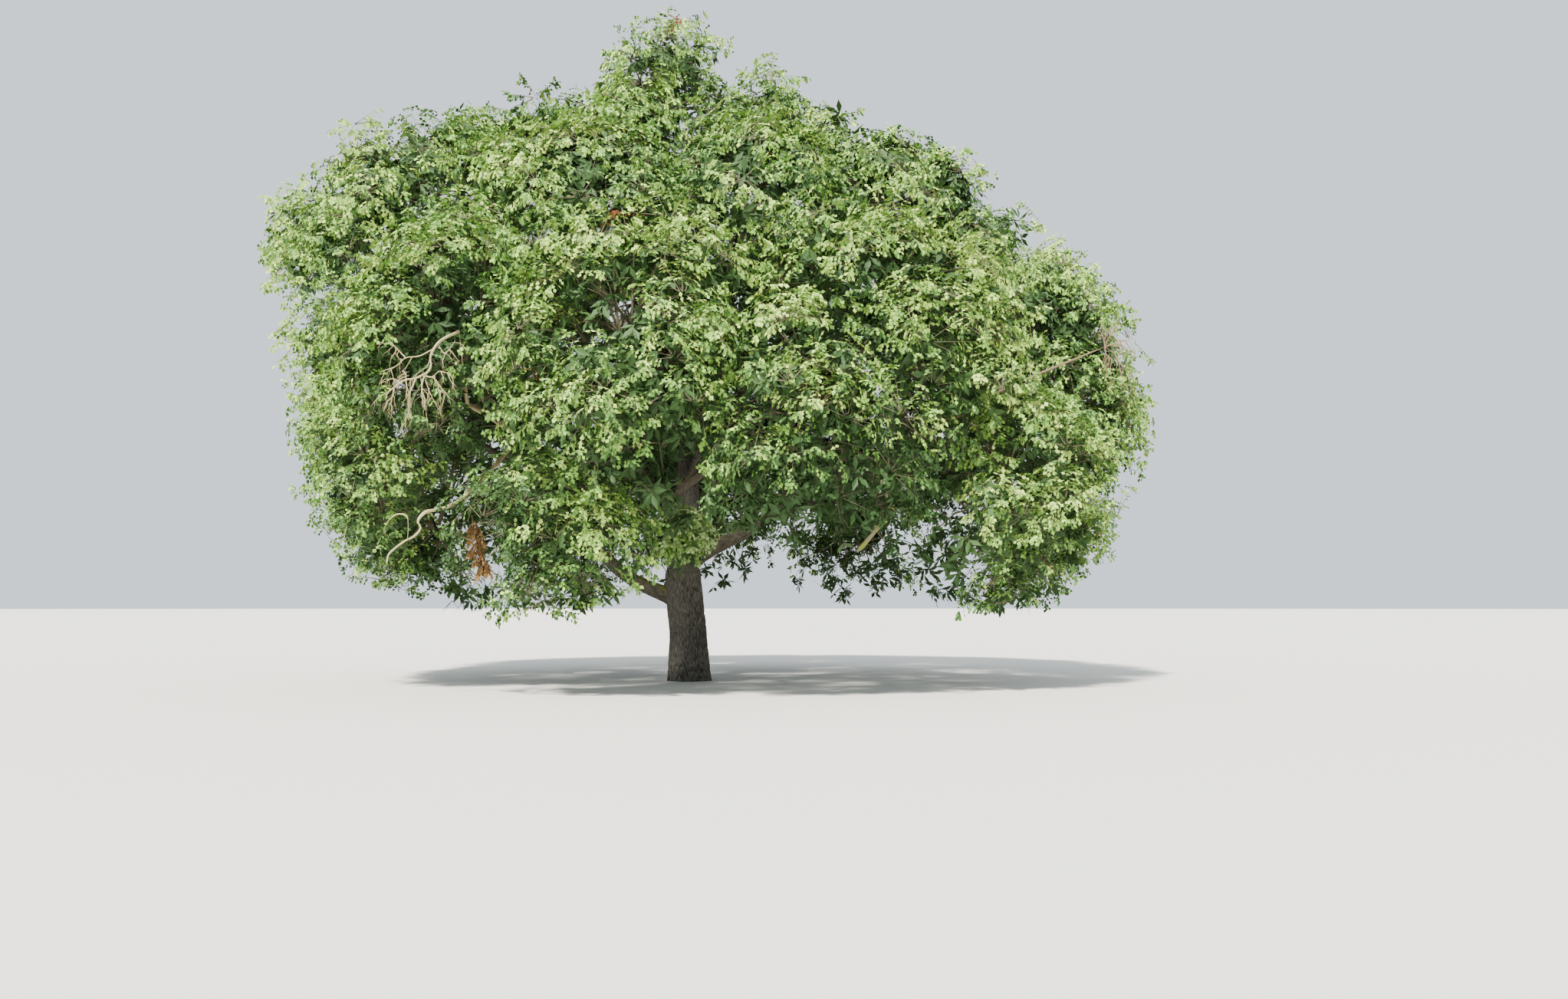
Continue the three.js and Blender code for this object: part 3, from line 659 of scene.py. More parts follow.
def trunk_mesh(material):
    """The trunk with its relief, in level rings so that the foot stays flat."""
    rows = np.arange(0, TRUNK_ROWS_END, TRUNK_ROW)
    leader = np.arange(rows[-1] + LEADER_ROW, TRUNK_HEIGHT, LEADER_ROW)
    heights = np.concatenate([rows, leader, [TRUNK_HEIGHT]])
    share = np.interp(heights, trunk.at(trunk.pace)[:, 2], trunk.pace)
    middle_line = trunk.at(share)
    azimuth = np.linspace(0, 2 * np.pi, TRUNK_SIDES, endpoint=False)
    height, azimuth = np.meshgrid(heights, azimuth, indexing="ij")
    angle = np.arctan2(-np.cos(azimuth), -np.sin(azimuth))
    radius = trunk_radius(height, angle) + collars(height, azimuth)
    turns = azimuth / (2 * np.pi)
    relief = barked(turns, height, TRUNK_PLATES, PLATE_LENGTH, 3)
    thin = radius / FORK_RADIUS
    radius = radius + relief * np.clip(thin, LEADER_RELIEF, 1)
    points = np.stack([
        middle_line[:, 0:1] + radius * np.cos(azimuth),
        middle_line[:, 1:2] + radius * np.sin(azimuth),
        height,
    ], axis=-1).reshape(-1, 3)
    grain = np.stack([
        radius * np.cos(azimuth), radius * np.sin(azimuth), height,
    ], axis=-1).reshape(-1, 3)
    rings = len(heights)
    ends = np.array([middle_line[0], middle_line[-1] + UP * TOP_POINT])
    ends[0, 2] = 0
    vertices = np.vstack([points, ends])
    faces = [
        tube_faces(rings, TRUNK_SIDES),
        cap_faces(0, TRUNK_SIDES, len(points), True),
        cap_faces((rings - 1) * TRUNK_SIDES, TRUNK_SIDES, len(points) + 1, False),
    ]
    piece = mesh_object("trunk_bark", vertices, faces, [material], smooth=True)
    bark_attributes(piece, np.vstack([grain, ends]), relief_share(relief))
    return piece


def ring_frames(line):
    """Two directions across a line at each of its points, turning as little as they can."""
    heading = unit(np.gradient(line, axis=0))
    reference = UP if abs(heading[0][2]) < STEEP else np.array([1.0, 0, 0])
    first = [unit(np.cross(heading[0], reference))]
    for ahead in heading[1:]:
        turned = first[-1] - np.dot(first[-1], ahead) * ahead
        first.append(unit(turned))
    first = np.array(first)
    return first, np.cross(heading, first)


def limb_mesh(item, seed):
    """One bough's points, faces, grain and relief, with a collar at its foot."""
    rings = int(item.length / BOUGH_ROW) + 2
    share = np.linspace(0, 1, rings)
    line = item.at(share)
    first, second = ring_frames(line)
    metres = share * item.length
    radius = item.radius + (item.tip_radius - item.radius) * share
    past_collar = np.maximum(metres - COLLAR_START, 0)
    radius = radius * (1 + COLLAR_SWELL * np.exp(-past_collar / COLLAR_LENGTH))
    angle = np.linspace(0, 2 * np.pi, BOUGH_SIDES, endpoint=False)
    metre, angle = np.meshgrid(metres, angle, indexing="ij")
    turns = angle / (2 * np.pi)
    scale = (radius / FORK_RADIUS)[:, None]
    relief = barked(turns, metre, BOUGH_PLATES, BOUGH_PLATE_LENGTH, seed)
    full = radius[:, None] + relief * np.clip(RELIEF_GROWTH * scale, *BOUGH_RELIEF)
    points = line[:, None] + full[..., None] * (
        np.cos(angle)[..., None] * first[:, None] + np.sin(angle)[..., None] * second[:, None]
    )
    grain = np.stack([full * np.cos(angle), full * np.sin(angle), metre], axis=-1)
    tip = line[-1] + TIP_POINT * unit(line[-1] - line[-2])
    vertices = np.vstack([points.reshape(-1, 3), line[0], tip])
    count = rings * BOUGH_SIDES
    quads = tube_faces(rings, BOUGH_SIDES)
    ends = np.vstack([
        cap_faces(0, BOUGH_SIDES, count, True),
        cap_faces(count - BOUGH_SIDES, BOUGH_SIDES, count + 1, False),
    ])
    grain = np.vstack([grain.reshape(-1, 3), grain[0, 0], grain[-1, -1]])
    return vertices, quads, ends, grain, relief_share(relief)


def joined_limbs(name, items, material, seed):
    """Several boughs in one piece."""
    parts = [limb_mesh(item, seed + 17 * index) for index, item in enumerate(items)]
    starts = np.concatenate([[0], np.cumsum([len(part[0]) for part in parts])])
    vertices = np.vstack([part[0] for part in parts])
    quads = np.vstack([part[1] + start for part, start in zip(parts, starts)])
    ends = np.vstack([part[2] + start for part, start in zip(parts, starts)])
    piece = mesh_object(name, vertices, [quads, ends], [material], smooth=True)
    relief = np.concatenate([part[4] for part in parts])
    bark_attributes(piece, np.vstack([part[3] for part in parts]), relief)
    return piece


trunk_bark = bark_material("oak_bark", "#181613", "#4d4a43", "#807d73", "#676b33", 0.78)
piece = trunk_mesh(trunk_bark)
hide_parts("trunk")
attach(piece, "root")

bough_bark = bark_material("mossy_bark", "#231e18", "#50493e", "#737062", "#676c30", 0.66)
for name, items, seed in (("low", low_boughs, 40), ("high", [*high_boughs, *top_boughs], 80)):
    piece = joined_limbs(f"bough_bark_{name}", items, bough_bark, seed)
    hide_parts(*[item.name for item in items])
    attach(piece, "root")


# Stems and twigs
# From each bough's tip a stem runs on into the middle of its mass and forks: first into
# branches, then into branchlets, one for each domed pad of leaves, and then into thin twigs.

STEM_RADIUS = 0.06
STEM_SINK = 0.03  # how deep a stem is let into its bough's tip
STEM_LEAD = 0.5  # how far it keeps the bough's way before it bends
LONE_STEM = 0.8  # a stem's foot as a share of the bough's tip, alone or as one of two
TWIN_STEM = 0.4
STEM_ARCH = 0.1
STEM_TAPER = 0.6
GROUPS = 9  # branches of a mass
GROUP_SEED = 50
SPIRAL = 40  # the channel of chance that turns a spiral
# Arches, numbers of points, and radii at the foot and the tip
BRANCH_ARCH = 0.08
BRANCH_POINTS = 5
BRANCH_RADII = (0.05, 0.028)
BRANCHLET_ARCH = 0.12  # as a share of its length
ARCH_EARLY = 0.8  # below 1, so that an arch is highest before its middle
BRANCHLET_POINTS = 4
BRANCHLET_RADII = (0.026, 0.01)
TWIG_RADII = (0.009, 0)
STEM_POINTS = 9
# The sides of stems, branches, branchlets, twigs and the sprays inside
STEM_SIDES, BRANCH_SIDES, BRANCHLET_SIDES, TWIG_SIDES, SPRAY_SIDES = 8, 5, 3, 3, 4
PAD_AREA = 1.25  # square metres of the crown's outside for each pad
INNER_PADS = 0.58  # pads towards a neighbour, as a share of those on the crown's outside
PAD_RADIUS = 0.86
PAD_HEIGHT = 0.6
PAD_EDGE = 1.85  # radians from a pad's crown over to its rim
PAD_FOOT = 0.12  # its twigs leave from this share of the way out to their tips
# A pad's crown turns less up and down than the pad faces, and then up by a lift
PAD_FLAT = np.array([1, 1, 0.5])
PAD_LIFT = 0.7
PAD_SIZE_SWAY = 0.22
PAD_STRAY = 0.35  # how far pads stray from even places, as a share of the space for each
SPARE_CHANCE = 0.06  # that a pad grows where its mass has no room
BARE_SIDE = -0.15  # pads go this far round to the side towards the trunk
OPEN_TOP = 0.35  # how far pads go round over the top towards the trunk
PAD_FILL = 0.82  # how far out pads are, as a share of their mass's space
PAD_FILL_SWAY = 0.13
TWIGS_A_PAD = 18
PAD_TURN = 1.3  # radians that a pad's spiral of twigs is turned from the last one's
TWIG_TURN = 0.3
TWIG_SIZES = (0.86, 1.1)
ASKEW = np.array([0.13, 0.97, 0.2])  # a way that no pad's crown points
NEIGHBOUR_STEP = 0.2  # a pad this near a neighbour's space lies beside it
SHADE_SIDE = -0.75  # shaded clumps go further round to the trunk than pads
SHADE_FILLS = [0.62, 0.34]  # how far out they are, by turns
SHADE_SIDE_FILL = 0.8
SHADE_ROUND = 4  # one direction in so many has no shaded clump
TWIGS_A_CLUMP = 6
TWIG_LENGTH = 0.44
TWIG_LENGTHS = (0.65, 1.25)
# A clump's twigs point outwards, any way and down in these shares
CLUMP_OUT, CLUMP_LOOSE, CLUMP_SAG = 0.55, 0.85, 0.25
DROOP = 0.2
LIMB_CLEARANCE = 0.1
LIMB_POINTS = 60
LIMB_BATCH = 2000  # twigs measured at a time
# Pads stay this deep inside the crown's outline, some more and some less, which gives it
# its tufts, and their twigs end at most a tuft's height nearer to it
PAD_DEPTH = 0.62
PAD_DEPTH_SWAY = 0.32
TUFT = 0.1
LOOSE = 0.2  # twigs end at most this far outside their mass's own space
PROUD = 0.12  # and at most this far outside the solids' box
SPRAYS_A_BOUGH = 22
SPRAYS_A_LOW_BOUGH = 38
LEADER_SPRAYS = 46
SPRAYS_START = 0.35  # as a share of the bough's length
LEADER_SPRAYS_START = 0.5
SPRAYS_END = 0.97
SPRAY_REACH = (0.45, 1.25)
SPRAY_RADII = (0.022, 0.01)
SPRAY_LIFT = 0.35  # how much sprays turn up
SPRAY_DEPTH = 0.8  # sprays keep this far over the crown's foot
INNER_FLOOR = 5.7  # below this height the trunk and boughs are bare near the fork
FORK_ROOM = 2.3  # and this is how far out they are bare
# Where sky shows through or cuts into the outline from the front: across and up in the
# upright plane through the trunk, and half the gap's width and height
SKY_GAPS = [
    (-1.35, 15.3, 0.42, 0.28), (-7.5, 13.4, 0.2, 0.4), (-1.72, 9.2, 0.46, 0.38),
    (-7.2, 7.35, 0.2, 0.35), (-7.3, 6.15, 0.32, 0.14), (-9.6, 9.0, 0.3, 0.2),
]
# Dents in the crown's outline: across and up in the same plane, half the width and height,
# and how deep. A negative depth is a tuft.
DENTS = [
    (-7.75, 13.6, 0.6, 0.9, 1.1), (-10.0, 13.1, 0.9, 1.1, 1.5), (-6.0, 14.8, 1.0, 0.9, 0.8),
    (-3.4, 15.6, 1.0, 0.9, 0.7), (4.4, 14.6, 1.0, 0.9, 0.9), (7.9, 12.5, 0.9, 1.0, 1.2),
    (1.3, 16.3, 0.5, 0.9, 0.9), (-9.1, 13.8, 0.45, 0.6, -0.2), (-7.1, 14.6, 0.5, 0.6, -0.3),
    (0.5, 15.7, 6.0, 1.6, 0.3), (5.9, 13.7, 0.9, 0.8, 0.3), (-6.5, 7.5, 0.8, 0.9, 0.9),
    (-0.75, 16.5, 0.5, 0.7, -0.7), (7.2, 13.2, 0.5, 0.7, -0.5), (8.6, 11.6, 1.2, 0.9, 0.3),
    (1.7, 15.8, 0.3, 0.5, -0.4), (-2.6, 15.6, 0.3, 0.4, -0.3), (3.7, 3.7, 2.4, 1.3, 0.25),
]
# Painted shade where the front of the crown falls in and lies in shade: across, up, half the
# width and height in the same plane, and how many greens darker its sprays are painted at most
SHADED_HOLLOWS = [
    (3.9, 3.4, 3.3, 2.2, 3.8), (-5.1, 3.4, 1.4, 1.7, 3.2), (-6.6, 7.8, 1.0, 1.5, 3.0),
    (0.3, 4.3, 1.7, 1.0, 1.6), (3.9, 11.4, 0.9, 1.2, 1.2), (-5.6, 9.8, 1.7, 1.2, 0.9),
]
HOLLOW_BACK = 3.0  # they end this far behind the trunk
# How far from its middle a dent or a hollow ends, in halves of its size, and how fast it fades
DENT_END = 1.5
HOLLOW_END = 2.2
HOLLOW_FADE = 1.8
VIEWPOINT = np.array([2.3, -30.0, 1.8])  # eye level, where the camera stands
JUST_BEHIND = 0.1  # leaves that lie this little behind bare wood are kept off it too
LEADER_SHOWN = 5.0  # the height at which the leader shows, this far up and down
LEADER_SHOWN_HALF = 0.4


def upright(points):
    """Points carried along their lines of sight to the upright plane through the trunk."""
    sight = points - VIEWPOINT
    scale = -VIEWPOINT[1] / np.maximum(sight[:, 1], 1)
    return VIEWPOINT[[0, 2]] + sight[:, [0, 2]] * scale[:, None]


def away_from(points, x, z, wide, high):
    """How far points are seen from a spot's middle, in halves of its width and height."""
    seen = upright(points)
    return np.hypot((seen[:, 0] - x) / wide, (seen[:, 1] - z) / high)


def in_sky_gap(points):
    """Which of the points lie on a line of sight through a gap."""
    return np.any([away_from(points, *gap) < 1 for gap in SKY_GAPS], axis=0)


def dent_depth(points):
    """How much deeper than elsewhere pads stay inside the crown's outline."""
    depth = np.zeros(len(points))
    for *spot, deep in DENTS:
        depth += deep * np.clip(DENT_END - away_from(points, *spot), 0, 1)
    return depth


def hollow_shade_tone(points):
    """How many greens darker sprays are painted where the front of the crown falls in: painted
    shade.
    """
    tone = np.zeros(len(points))
    for *spot, darker in SHADED_HOLLOWS:
        fall = np.clip(HOLLOW_END - HOLLOW_FADE * away_from(points, *spot), 0, 1)
        tone = np.maximum(tone, darker * fall)
    return tone * (points[:, 1] < HOLLOW_BACK)


def hides(points, bare):
    """Which of the points stand in front of bare wood, given as paths and their widths."""
    seen = upright(points)
    near = np.linalg.norm(points - VIEWPOINT, axis=1)
    hiding = np.zeros(len(points), bool)
    for path, width in bare:
        for spot, flat in zip(path, upright(path)):
            close = np.linalg.norm(seen - flat, axis=1) < width
            hiding |= close & (near < np.linalg.norm(spot - VIEWPOINT) + JUST_BEHIND)
    return hiding


def in_box(points, spare):
    """Which of the points lie within the solids' box, or up to spare outside it."""
    low = np.array(CAD_BOX[0]) - spare
    high = np.array(CAD_BOX[1]) + spare
    return ((points > low) & (points < high)).all(axis=1)


def loose_ways(rng, count):
    """Directions that point any way, one a row."""
    return unit(rng.normal(size=(count, 3)))


def golden_turn(order):
    """Turns that stay evenly spread, however many there are."""
    return order * math.pi * (3 - math.sqrt(5))


def spread_directions(count, seed):
    """Even directions on a ball, on one long spiral."""
    index = np.arange(count)
    height = 1 - (2 * index + 1) / count
    angle = golden_turn(index) + 2 * math.pi * chance(seed, SPIRAL)
    flat = np.sqrt(1 - height**2)
    return np.stack([flat * np.cos(angle), flat * np.sin(angle), height], axis=-1)


def add_stem(mass, root, bend, radius, tip_radius):
    """Gives a mass the stem that carries it, over one bend to its middle."""
    mass.stem = Limb(f"{mass.name}_stem", [root, bend, mass.hub], radius, tip_radius)


for item in boughs:
    tip = item.at(1)[0]
    ahead = item.heading(1)[0]
    for order, mass in enumerate(item.fed):
        side = np.zeros(3)
        offset = 0.0
        if len(item.fed) == 2:
            side = item.fed[1].hub - item.fed[0].hub
            side = unit(side - np.dot(side, ahead) * ahead)
            offset = (order - 0.5) * item.tip_radius
        root = tip - STEM_SINK * ahead + offset * side
        bend = root + STEM_LEAD * ahead + 3 * offset * side
        share = TWIN_STEM if len(item.fed) == 2 else LONE_STEM
        add_stem(mass, root, bend, share * item.tip_radius, STEM_RADIUS)


def side_stem(mass, carrier, share, radius):
    """A smaller mass grows from the side of a limb."""
    root = carrier.at(share)[0]
    bend = (root + mass.hub) / 2 + STEM_ARCH * mass.reach * UP
    add_stem(mass, root, bend, radius, STEM_TAPER * radius)


named = {item.name: item for item in boughs}
# What carries each smaller mass, how far along it, and the stem's radius
side_stem(fork_clump, trunk, 0.3, 0.055)
side_stem(dead_branch, named["bough_low_9"], 0.72, 0.075)
side_stem(bare_twigs, named["bough_low_3"], 0.9, 0.06)
side_stem(dead_spray, named["bough_low_9"], 0.6, 0.028)

thick_limbs = [trunk, *boughs]
limb_points = np.vstack([item.at(np.linspace(0, 1, LIMB_POINTS)) for item in thick_limbs])
limb_radii = np.concatenate([
    np.linspace(item.radius, item.tip_radius, LIMB_POINTS) for item in thick_limbs
])


def clear_of_limbs(points):
    """Which of the points keep off the trunk and boughs."""
    clear = np.ones(len(points), bool)
    for start in range(0, len(points), LIMB_BATCH):
        batch = slice(start, start + LIMB_BATCH)
        gap = np.linalg.norm(points[batch, None] - limb_points[None], axis=2) - limb_radii
        clear[batch] = gap.min(axis=1) > LIMB_CLEARANCE
    return clear


def tapers(paths, radius, tip_radius):
    """Radii that fall evenly along each path."""
    return np.linspace(radius, tip_radius, paths.shape[1])[None] * np.ones((len(paths), 1))


def tubes(paths, radii, sides):
    """Thin limbs: paths of points and their radii to three cornered faces, closed at the tip."""
    count, rings = paths.shape[:2]
    heading = unit(paths[:, -1] - paths[:, 0])
    reference = np.where(np.abs(heading[:, 2:]) < STEEP, UP, np.array([1.0, 0, 0]))
    first = unit(np.cross(heading, reference))
    second = np.cross(heading, first)
    angle = np.linspace(0, 2 * np.pi, sides, endpoint=False)
    spoke = np.cos(angle)[:, None] * first[:, None] + np.sin(angle)[:, None] * second[:, None]
    body = paths[:, :-1, None] + radii[:, :-1, None, None] * spoke[:, None]
    body = body.reshape(count, -1, 3)
    vertices = np.concatenate([body, paths[:, -1:]], axis=1)
    quads = tube_faces(rings - 1, sides)
    faces = np.vstack([quads[:, [0, 1, 2]], quads[:, [0, 2, 3]]])
    last = (rings - 2) * sides
    faces = np.vstack([faces, cap_faces(last, sides, (rings - 1) * sides, False)])
    size = (rings - 1) * sides + 1
    everywhere = faces[None] + (np.arange(count) * size)[:, None, None]
    return vertices.reshape(-1, 3), everywhere.reshape(-1, 3)


def bent(starts, ends, arch, points):
    """Paths from starts to ends that rise by arch on the way."""
    share = np.linspace(0, 1, points)[None, :, None]
    straight = starts[:, None] + (ends - starts)[:, None] * share
    return straight + arch[:, None, None] * np.sin(np.pi * share**ARCH_EARLY) * UP


# Bare wood that shows from the front, with the width that stays clear of leaves before it
crooked_path = [
    named["bough_low_9"].at(0.82)[0], (-4.15, -4.6, 4.3), (-4.42, -5.6, 3.8),
    (-4.61, -5.8, 3.71), (-4.8, -5.9, 3.66), (-4.94, -5.95, 3.47), (-4.87, -5.97, 3.34),
    (-4.99, -6.0, 3.17), (-5.15, -6.0, 3.09), (-5.37, -6.05, 2.91), (-5.47, -6.05, 2.8),
    (-5.5, -6.05, 2.6),
]
crooked_limb = Limb("crooked_limb", crooked_path, 0.055, 0.016)
stub_root = named["bough_low_3"].at(0.72)[0]
stub_path = [stub_root, (4.75, -2.3, 4.0), (4.36, -2.6, 3.5), (3.93, -2.65, 2.99)]
broken_stub = Limb("broken_stub", stub_path, 0.075, 0.05)
tassel_top = dead_spray.hub + np.array([-0.25, 0, 0.15])
tassel_foot = dead_spray.hub + np.array([0.06, 0, -0.95])
tassel_path = tassel_top + (tassel_foot - tassel_top) * np.linspace(-0.1, 1.05, 8)[:, None]
hanging_spread = np.array([(0.1, 0, 0.25), (-0.45, 0, -0.1), (-0.15, 0, -0.5), (0.4, 0, -0.05)])
leader_path = trunk.at(np.linspace(0, 1, 90))
leader_path = leader_path[np.abs(leader_path[:, 2] - LEADER_SHOWN) < LEADER_SHOWN_HALF]
shown_wood = [
    (crooked_limb.at(np.linspace(0.74, 1, 6)), 0.24), (tassel_path, 0.6),
    (broken_stub.at(np.linspace(0.82, 1, 3)), 0.22), (dead_branch.hub + hanging_spread, 0.62),
    (bare_twigs.hub[None], 0.4), (leader_path, 0.3),
]


# The clump before the fork grows up and forwards, and hangs free under the crown. It is made
# of smaller pads
fork_clump.outward = unit(np.array([0.0, -1.0, 0.9]))
FORK_PADS = 21
FORK_PAD_SCALE = 0.48
FORK_FILL = 0.62
FORK_DEPTH = -0.5  # it may hang this far out of the crown's outline


def pads_of(mass, rng):
    """Where a mass's pads and shaded clumps are: their middles, the way each faces, how deep
    it stays in the crown, which are shaded, and which lie beside a neighbouring mass."""
    count = FORK_PADS if mass is fork_clump else int(4 * math.pi * mass.reach**2 / PAD_AREA)
    directions = spread_directions(count, mass.index)
    stray = PAD_STRAY / math.sqrt(count) * rng.normal(size=(count, 3))
    directions = unit(directions + stray)
    facing = directions @ unit(mass.outward + OPEN_TOP * UP)
    depth = PAD_DEPTH + PAD_DEPTH_SWAY * rng.uniform(-1, 1, count)
    if mass is fork_clump:
        depth = np.full(count, FORK_DEPTH)
    space = space_along(mass, directions, depth)
    depth += dent_depth(mass.hub + directions * space[:, None])
    space = space_along(mass, directions, depth)
    past = directions * (space + NEIGHBOUR_STEP)[:, None]
    by_neighbour = (past @ mass.normals.T > mass.limits).any(axis=1)
    share = np.where(by_neighbour, INNER_PADS, 1)
    dealt = rng.random(count) < share * (space / mass.reach) ** 2 + SPARE_CHANCE
    fill = PAD_FILL + PAD_FILL_SWAY * rng.uniform(-1, 1, count)
    if mass is fork_clump:
        fill *= FORK_FILL
    outer = dealt & (facing > BARE_SIDE)
    outer_middles = mass.hub + directions * (space * fill)[:, None]
    shaded = (facing > SHADE_SIDE) & (np.arange(count) % SHADE_ROUND != SHADE_ROUND - 1)
    deep = np.resize(SHADE_FILLS, count)
    shade_fill = SHADE_SIDE_FILL + (deep - SHADE_SIDE_FILL) * np.clip(2 * facing, 0, 1)
    shade_middles = mass.hub + directions * (space * shade_fill)[:, None]
    middles = np.vstack([outer_middles[outer], shade_middles[shaded]])
    facings = np.vstack([directions[outer], directions[shaded]])
    depths = np.concatenate([depth[outer], depth[shaded]])
    is_shade = np.repeat([False, True], [outer.sum(), shaded.sum()])
    beside = np.concatenate([by_neighbour[outer], by_neighbour[shaded]])
    return middles, facings, depths, is_shade, beside


def pad_twigs(middles, crowns, scale, rng):
    """Twigs from each pad's foot, spread evenly over its dome and down to its rim."""
    count = len(middles) * TWIGS_A_PAD
    pad = np.repeat(np.arange(len(middles)), TWIGS_A_PAD)
    order = np.tile(np.arange(TWIGS_A_PAD), len(middles))
    lean = np.arccos(1 - (order + 0.5) / TWIGS_A_PAD * (1 - math.cos(PAD_EDGE)))
    turn = golden_turn(order) + pad * PAD_TURN + rng.uniform(-TWIG_TURN, TWIG_TURN, count)
    level = unit(np.cross(crowns, ASKEW))
    other = np.cross(crowns, level)
    size = (1 + PAD_SIZE_SWAY * rng.uniform(-1, 1, len(middles)))[pad]
    size = scale * size * rng.uniform(*TWIG_SIZES, count)
    spoke = np.cos(turn)[:, None] * level[pad] + np.sin(turn)[:, None] * other[pad]
    across = (PAD_RADIUS * size * np.sin(lean))[:, None] * spoke
    rise = (PAD_HEIGHT * size * np.cos(lean))[:, None] * crowns[pad]
    roots = middles[pad] + PAD_FOOT * across
    return pad, roots, middles[pad] + across + rise


def clump_twigs(middles, facings, rng):
    """Twigs that leave a shaded clump's middle every way, most of them outwards."""
    count = len(middles) * TWIGS_A_CLUMP
    clump = np.repeat(np.arange(len(middles)), TWIGS_A_CLUMP)
    loose = CLUMP_LOOSE * loose_ways(rng, count)
    way = unit(CLUMP_OUT * facings[clump] + loose - CLUMP_SAG * UP)
    length = TWIG_LENGTH * rng.uniform(*TWIG_LENGTHS, count)
    tips = middles[clump] + way * length[:, None] - UP * (DROOP * length)[:, None]
    return clump, middles[clump], tips


def branch_out(mass, rng):
    """A mass's branches, branchlets and twigs, and the pad or clump each twig belongs to."""
    middles, facings, depths, is_shade, beside = pads_of(mass, rng)
    lead = spread_directions(GROUPS, mass.index + GROUP_SEED)
    group = np.argmax(facings @ lead.T, axis=1)
    used = np.unique(group)
    forks = np.array([middles[group == each].mean(axis=0) for each in used])
    forks = (forks + mass.hub) / 2
    hubs = np.repeat(mass.hub[None], len(used), axis=0)
    branches = bent(hubs, forks, np.full(len(used), BRANCH_ARCH), BRANCH_POINTS)
    starts = forks[np.searchsorted(used, group)]
    run = np.linalg.norm(middles - starts, axis=1)
    branchlets = bent(starts, middles, BRANCHLET_ARCH * run, BRANCHLET_POINTS)
    crowns = unit(facings * PAD_FLAT + PAD_LIFT * UP)
    pads = (~is_shade).sum()
    scale = FORK_PAD_SCALE if mass is fork_clump else 1.0
    pad, pad_roots, pad_tips = pad_twigs(middles[:pads], crowns[:pads], scale, rng)
    clump, clump_roots, clump_tips = clump_twigs(middles[pads:], facings[pads:], rng)
    clump = np.concatenate([pad, pads + clump])
    roots = np.vstack([pad_roots, clump_roots])
    tips = np.vstack([pad_tips, clump_tips])
    kept = in_space(mass, tips, LOOSE, depths[clump] - TUFT)
    kept &= in_box(tips, PROUD) & clear_of_limbs(tips)
    kept &= ~in_sky_gap(tips) & ~hides(tips, shown_wood)
    return SimpleNamespace(
        branches=branches, branchlets=branchlets, twigs=np.stack([roots, tips], axis=1)[kept],
        clump=clump[kept], facings=facings, crowns=crowns, middles=middles,
        is_shade=is_shade, beside=beside,
    )


def twig_material():
    """Young twig bark: smooth, olive brown and a little shinier than the old bark."""
    material, shader = new_material("young_twig_bark")
    # Specks 17 mm apart. Real ones are 2 mm, too fine to show
    mottle = add_node(material, "ShaderNodeTexNoise", {"Scale": 60.0, "Detail": 2.0})
    colour = add_node(
        material, "ShaderNodeMix",
        {"data_type": "RGBA", 6: linear("#453f2d"), 7: linear("#6f6a4e")},
        {"Factor": mottle.outputs["Fac"]},
    )
    set_node(material, shader, {"Roughness": 0.8}, {"Base Color": colour.outputs[2]})
    return material


twig_bark = twig_material()
growth = {}
for mass in leafy:
    growth[mass.name] = branch_out(mass, np.random.default_rng(500 + mass.index))


def inner_sprays(rng):
    """Shaded sprays that grow straight from the boughs and the leader inside the crown."""
    carriers = [(trunk, LEADER_SPRAYS, LEADER_SPRAYS_START)]
    carriers += [(item, SPRAYS_A_LOW_BOUGH, SPRAYS_START) for item in low_boughs]
    carriers += [(item, SPRAYS_A_BOUGH, SPRAYS_START) for item in [*high_boughs, *top_boughs]]
    feet = np.vstack([
        item.at(np.linspace(start, SPRAYS_END, count)) for item, count, start in carriers
    ])
    facings = unit(rng.normal(size=feet.shape) + SPRAY_LIFT * UP)
    middles = feet + facings * rng.uniform(*SPRAY_REACH, len(feet))[:, None]
    kept = (middles[:, 2] > INNER_FLOOR) | (np.hypot(middles[:, 0], middles[:, 1]) > FORK_ROOM)
    kept &= ~in_sky_gap(middles) & inside_crown(middles - SPRAY_DEPTH * UP)
    feet, facings, middles = feet[kept], facings[kept], middles[kept]
    branchlets = bent(feet, middles, np.full(len(feet), BRANCH_ARCH), BRANCHLET_POINTS)
    clump, roots, tips = clump_twigs(middles, facings, rng)
    kept = clear_of_limbs(tips) & ~in_sky_gap(tips) & ~hides(tips, shown_wood)
    twigs = np.stack([roots, tips], axis=1)[kept]
    return SimpleNamespace(branchlets=branchlets, twigs=twigs, facings=facings[clump[kept]])


def joined(parts):
    """Several sets of points and faces as one."""
    starts = np.concatenate([[0], np.cumsum([len(points) for points, _ in parts])])
    vertices = np.vstack([points for points, _ in parts])
    faces = np.vstack([faces + start for (_, faces), start in zip(parts, starts)])
    return vertices, faces


def wood_parts(mass):
    """Stem, branches, branchlets and twigs of one mass."""
    grown = growth[mass.name]
    stem = mass.stem.at(np.linspace(0, 1, STEM_POINTS))[None]
    return [
        tubes(stem, tapers(stem, mass.stem.radius, mass.stem.tip_radius), STEM_SIDES),
        tubes(grown.branches, tapers(grown.branches, *BRANCH_RADII), BRANCH_SIDES),
        tubes(grown.branchlets, tapers(grown.branchlets, *BRANCHLET_RADII), BRANCHLET_SIDES),
        tubes(grown.twigs, tapers(grown.twigs, *TWIG_RADII), TWIG_SIDES),
    ]


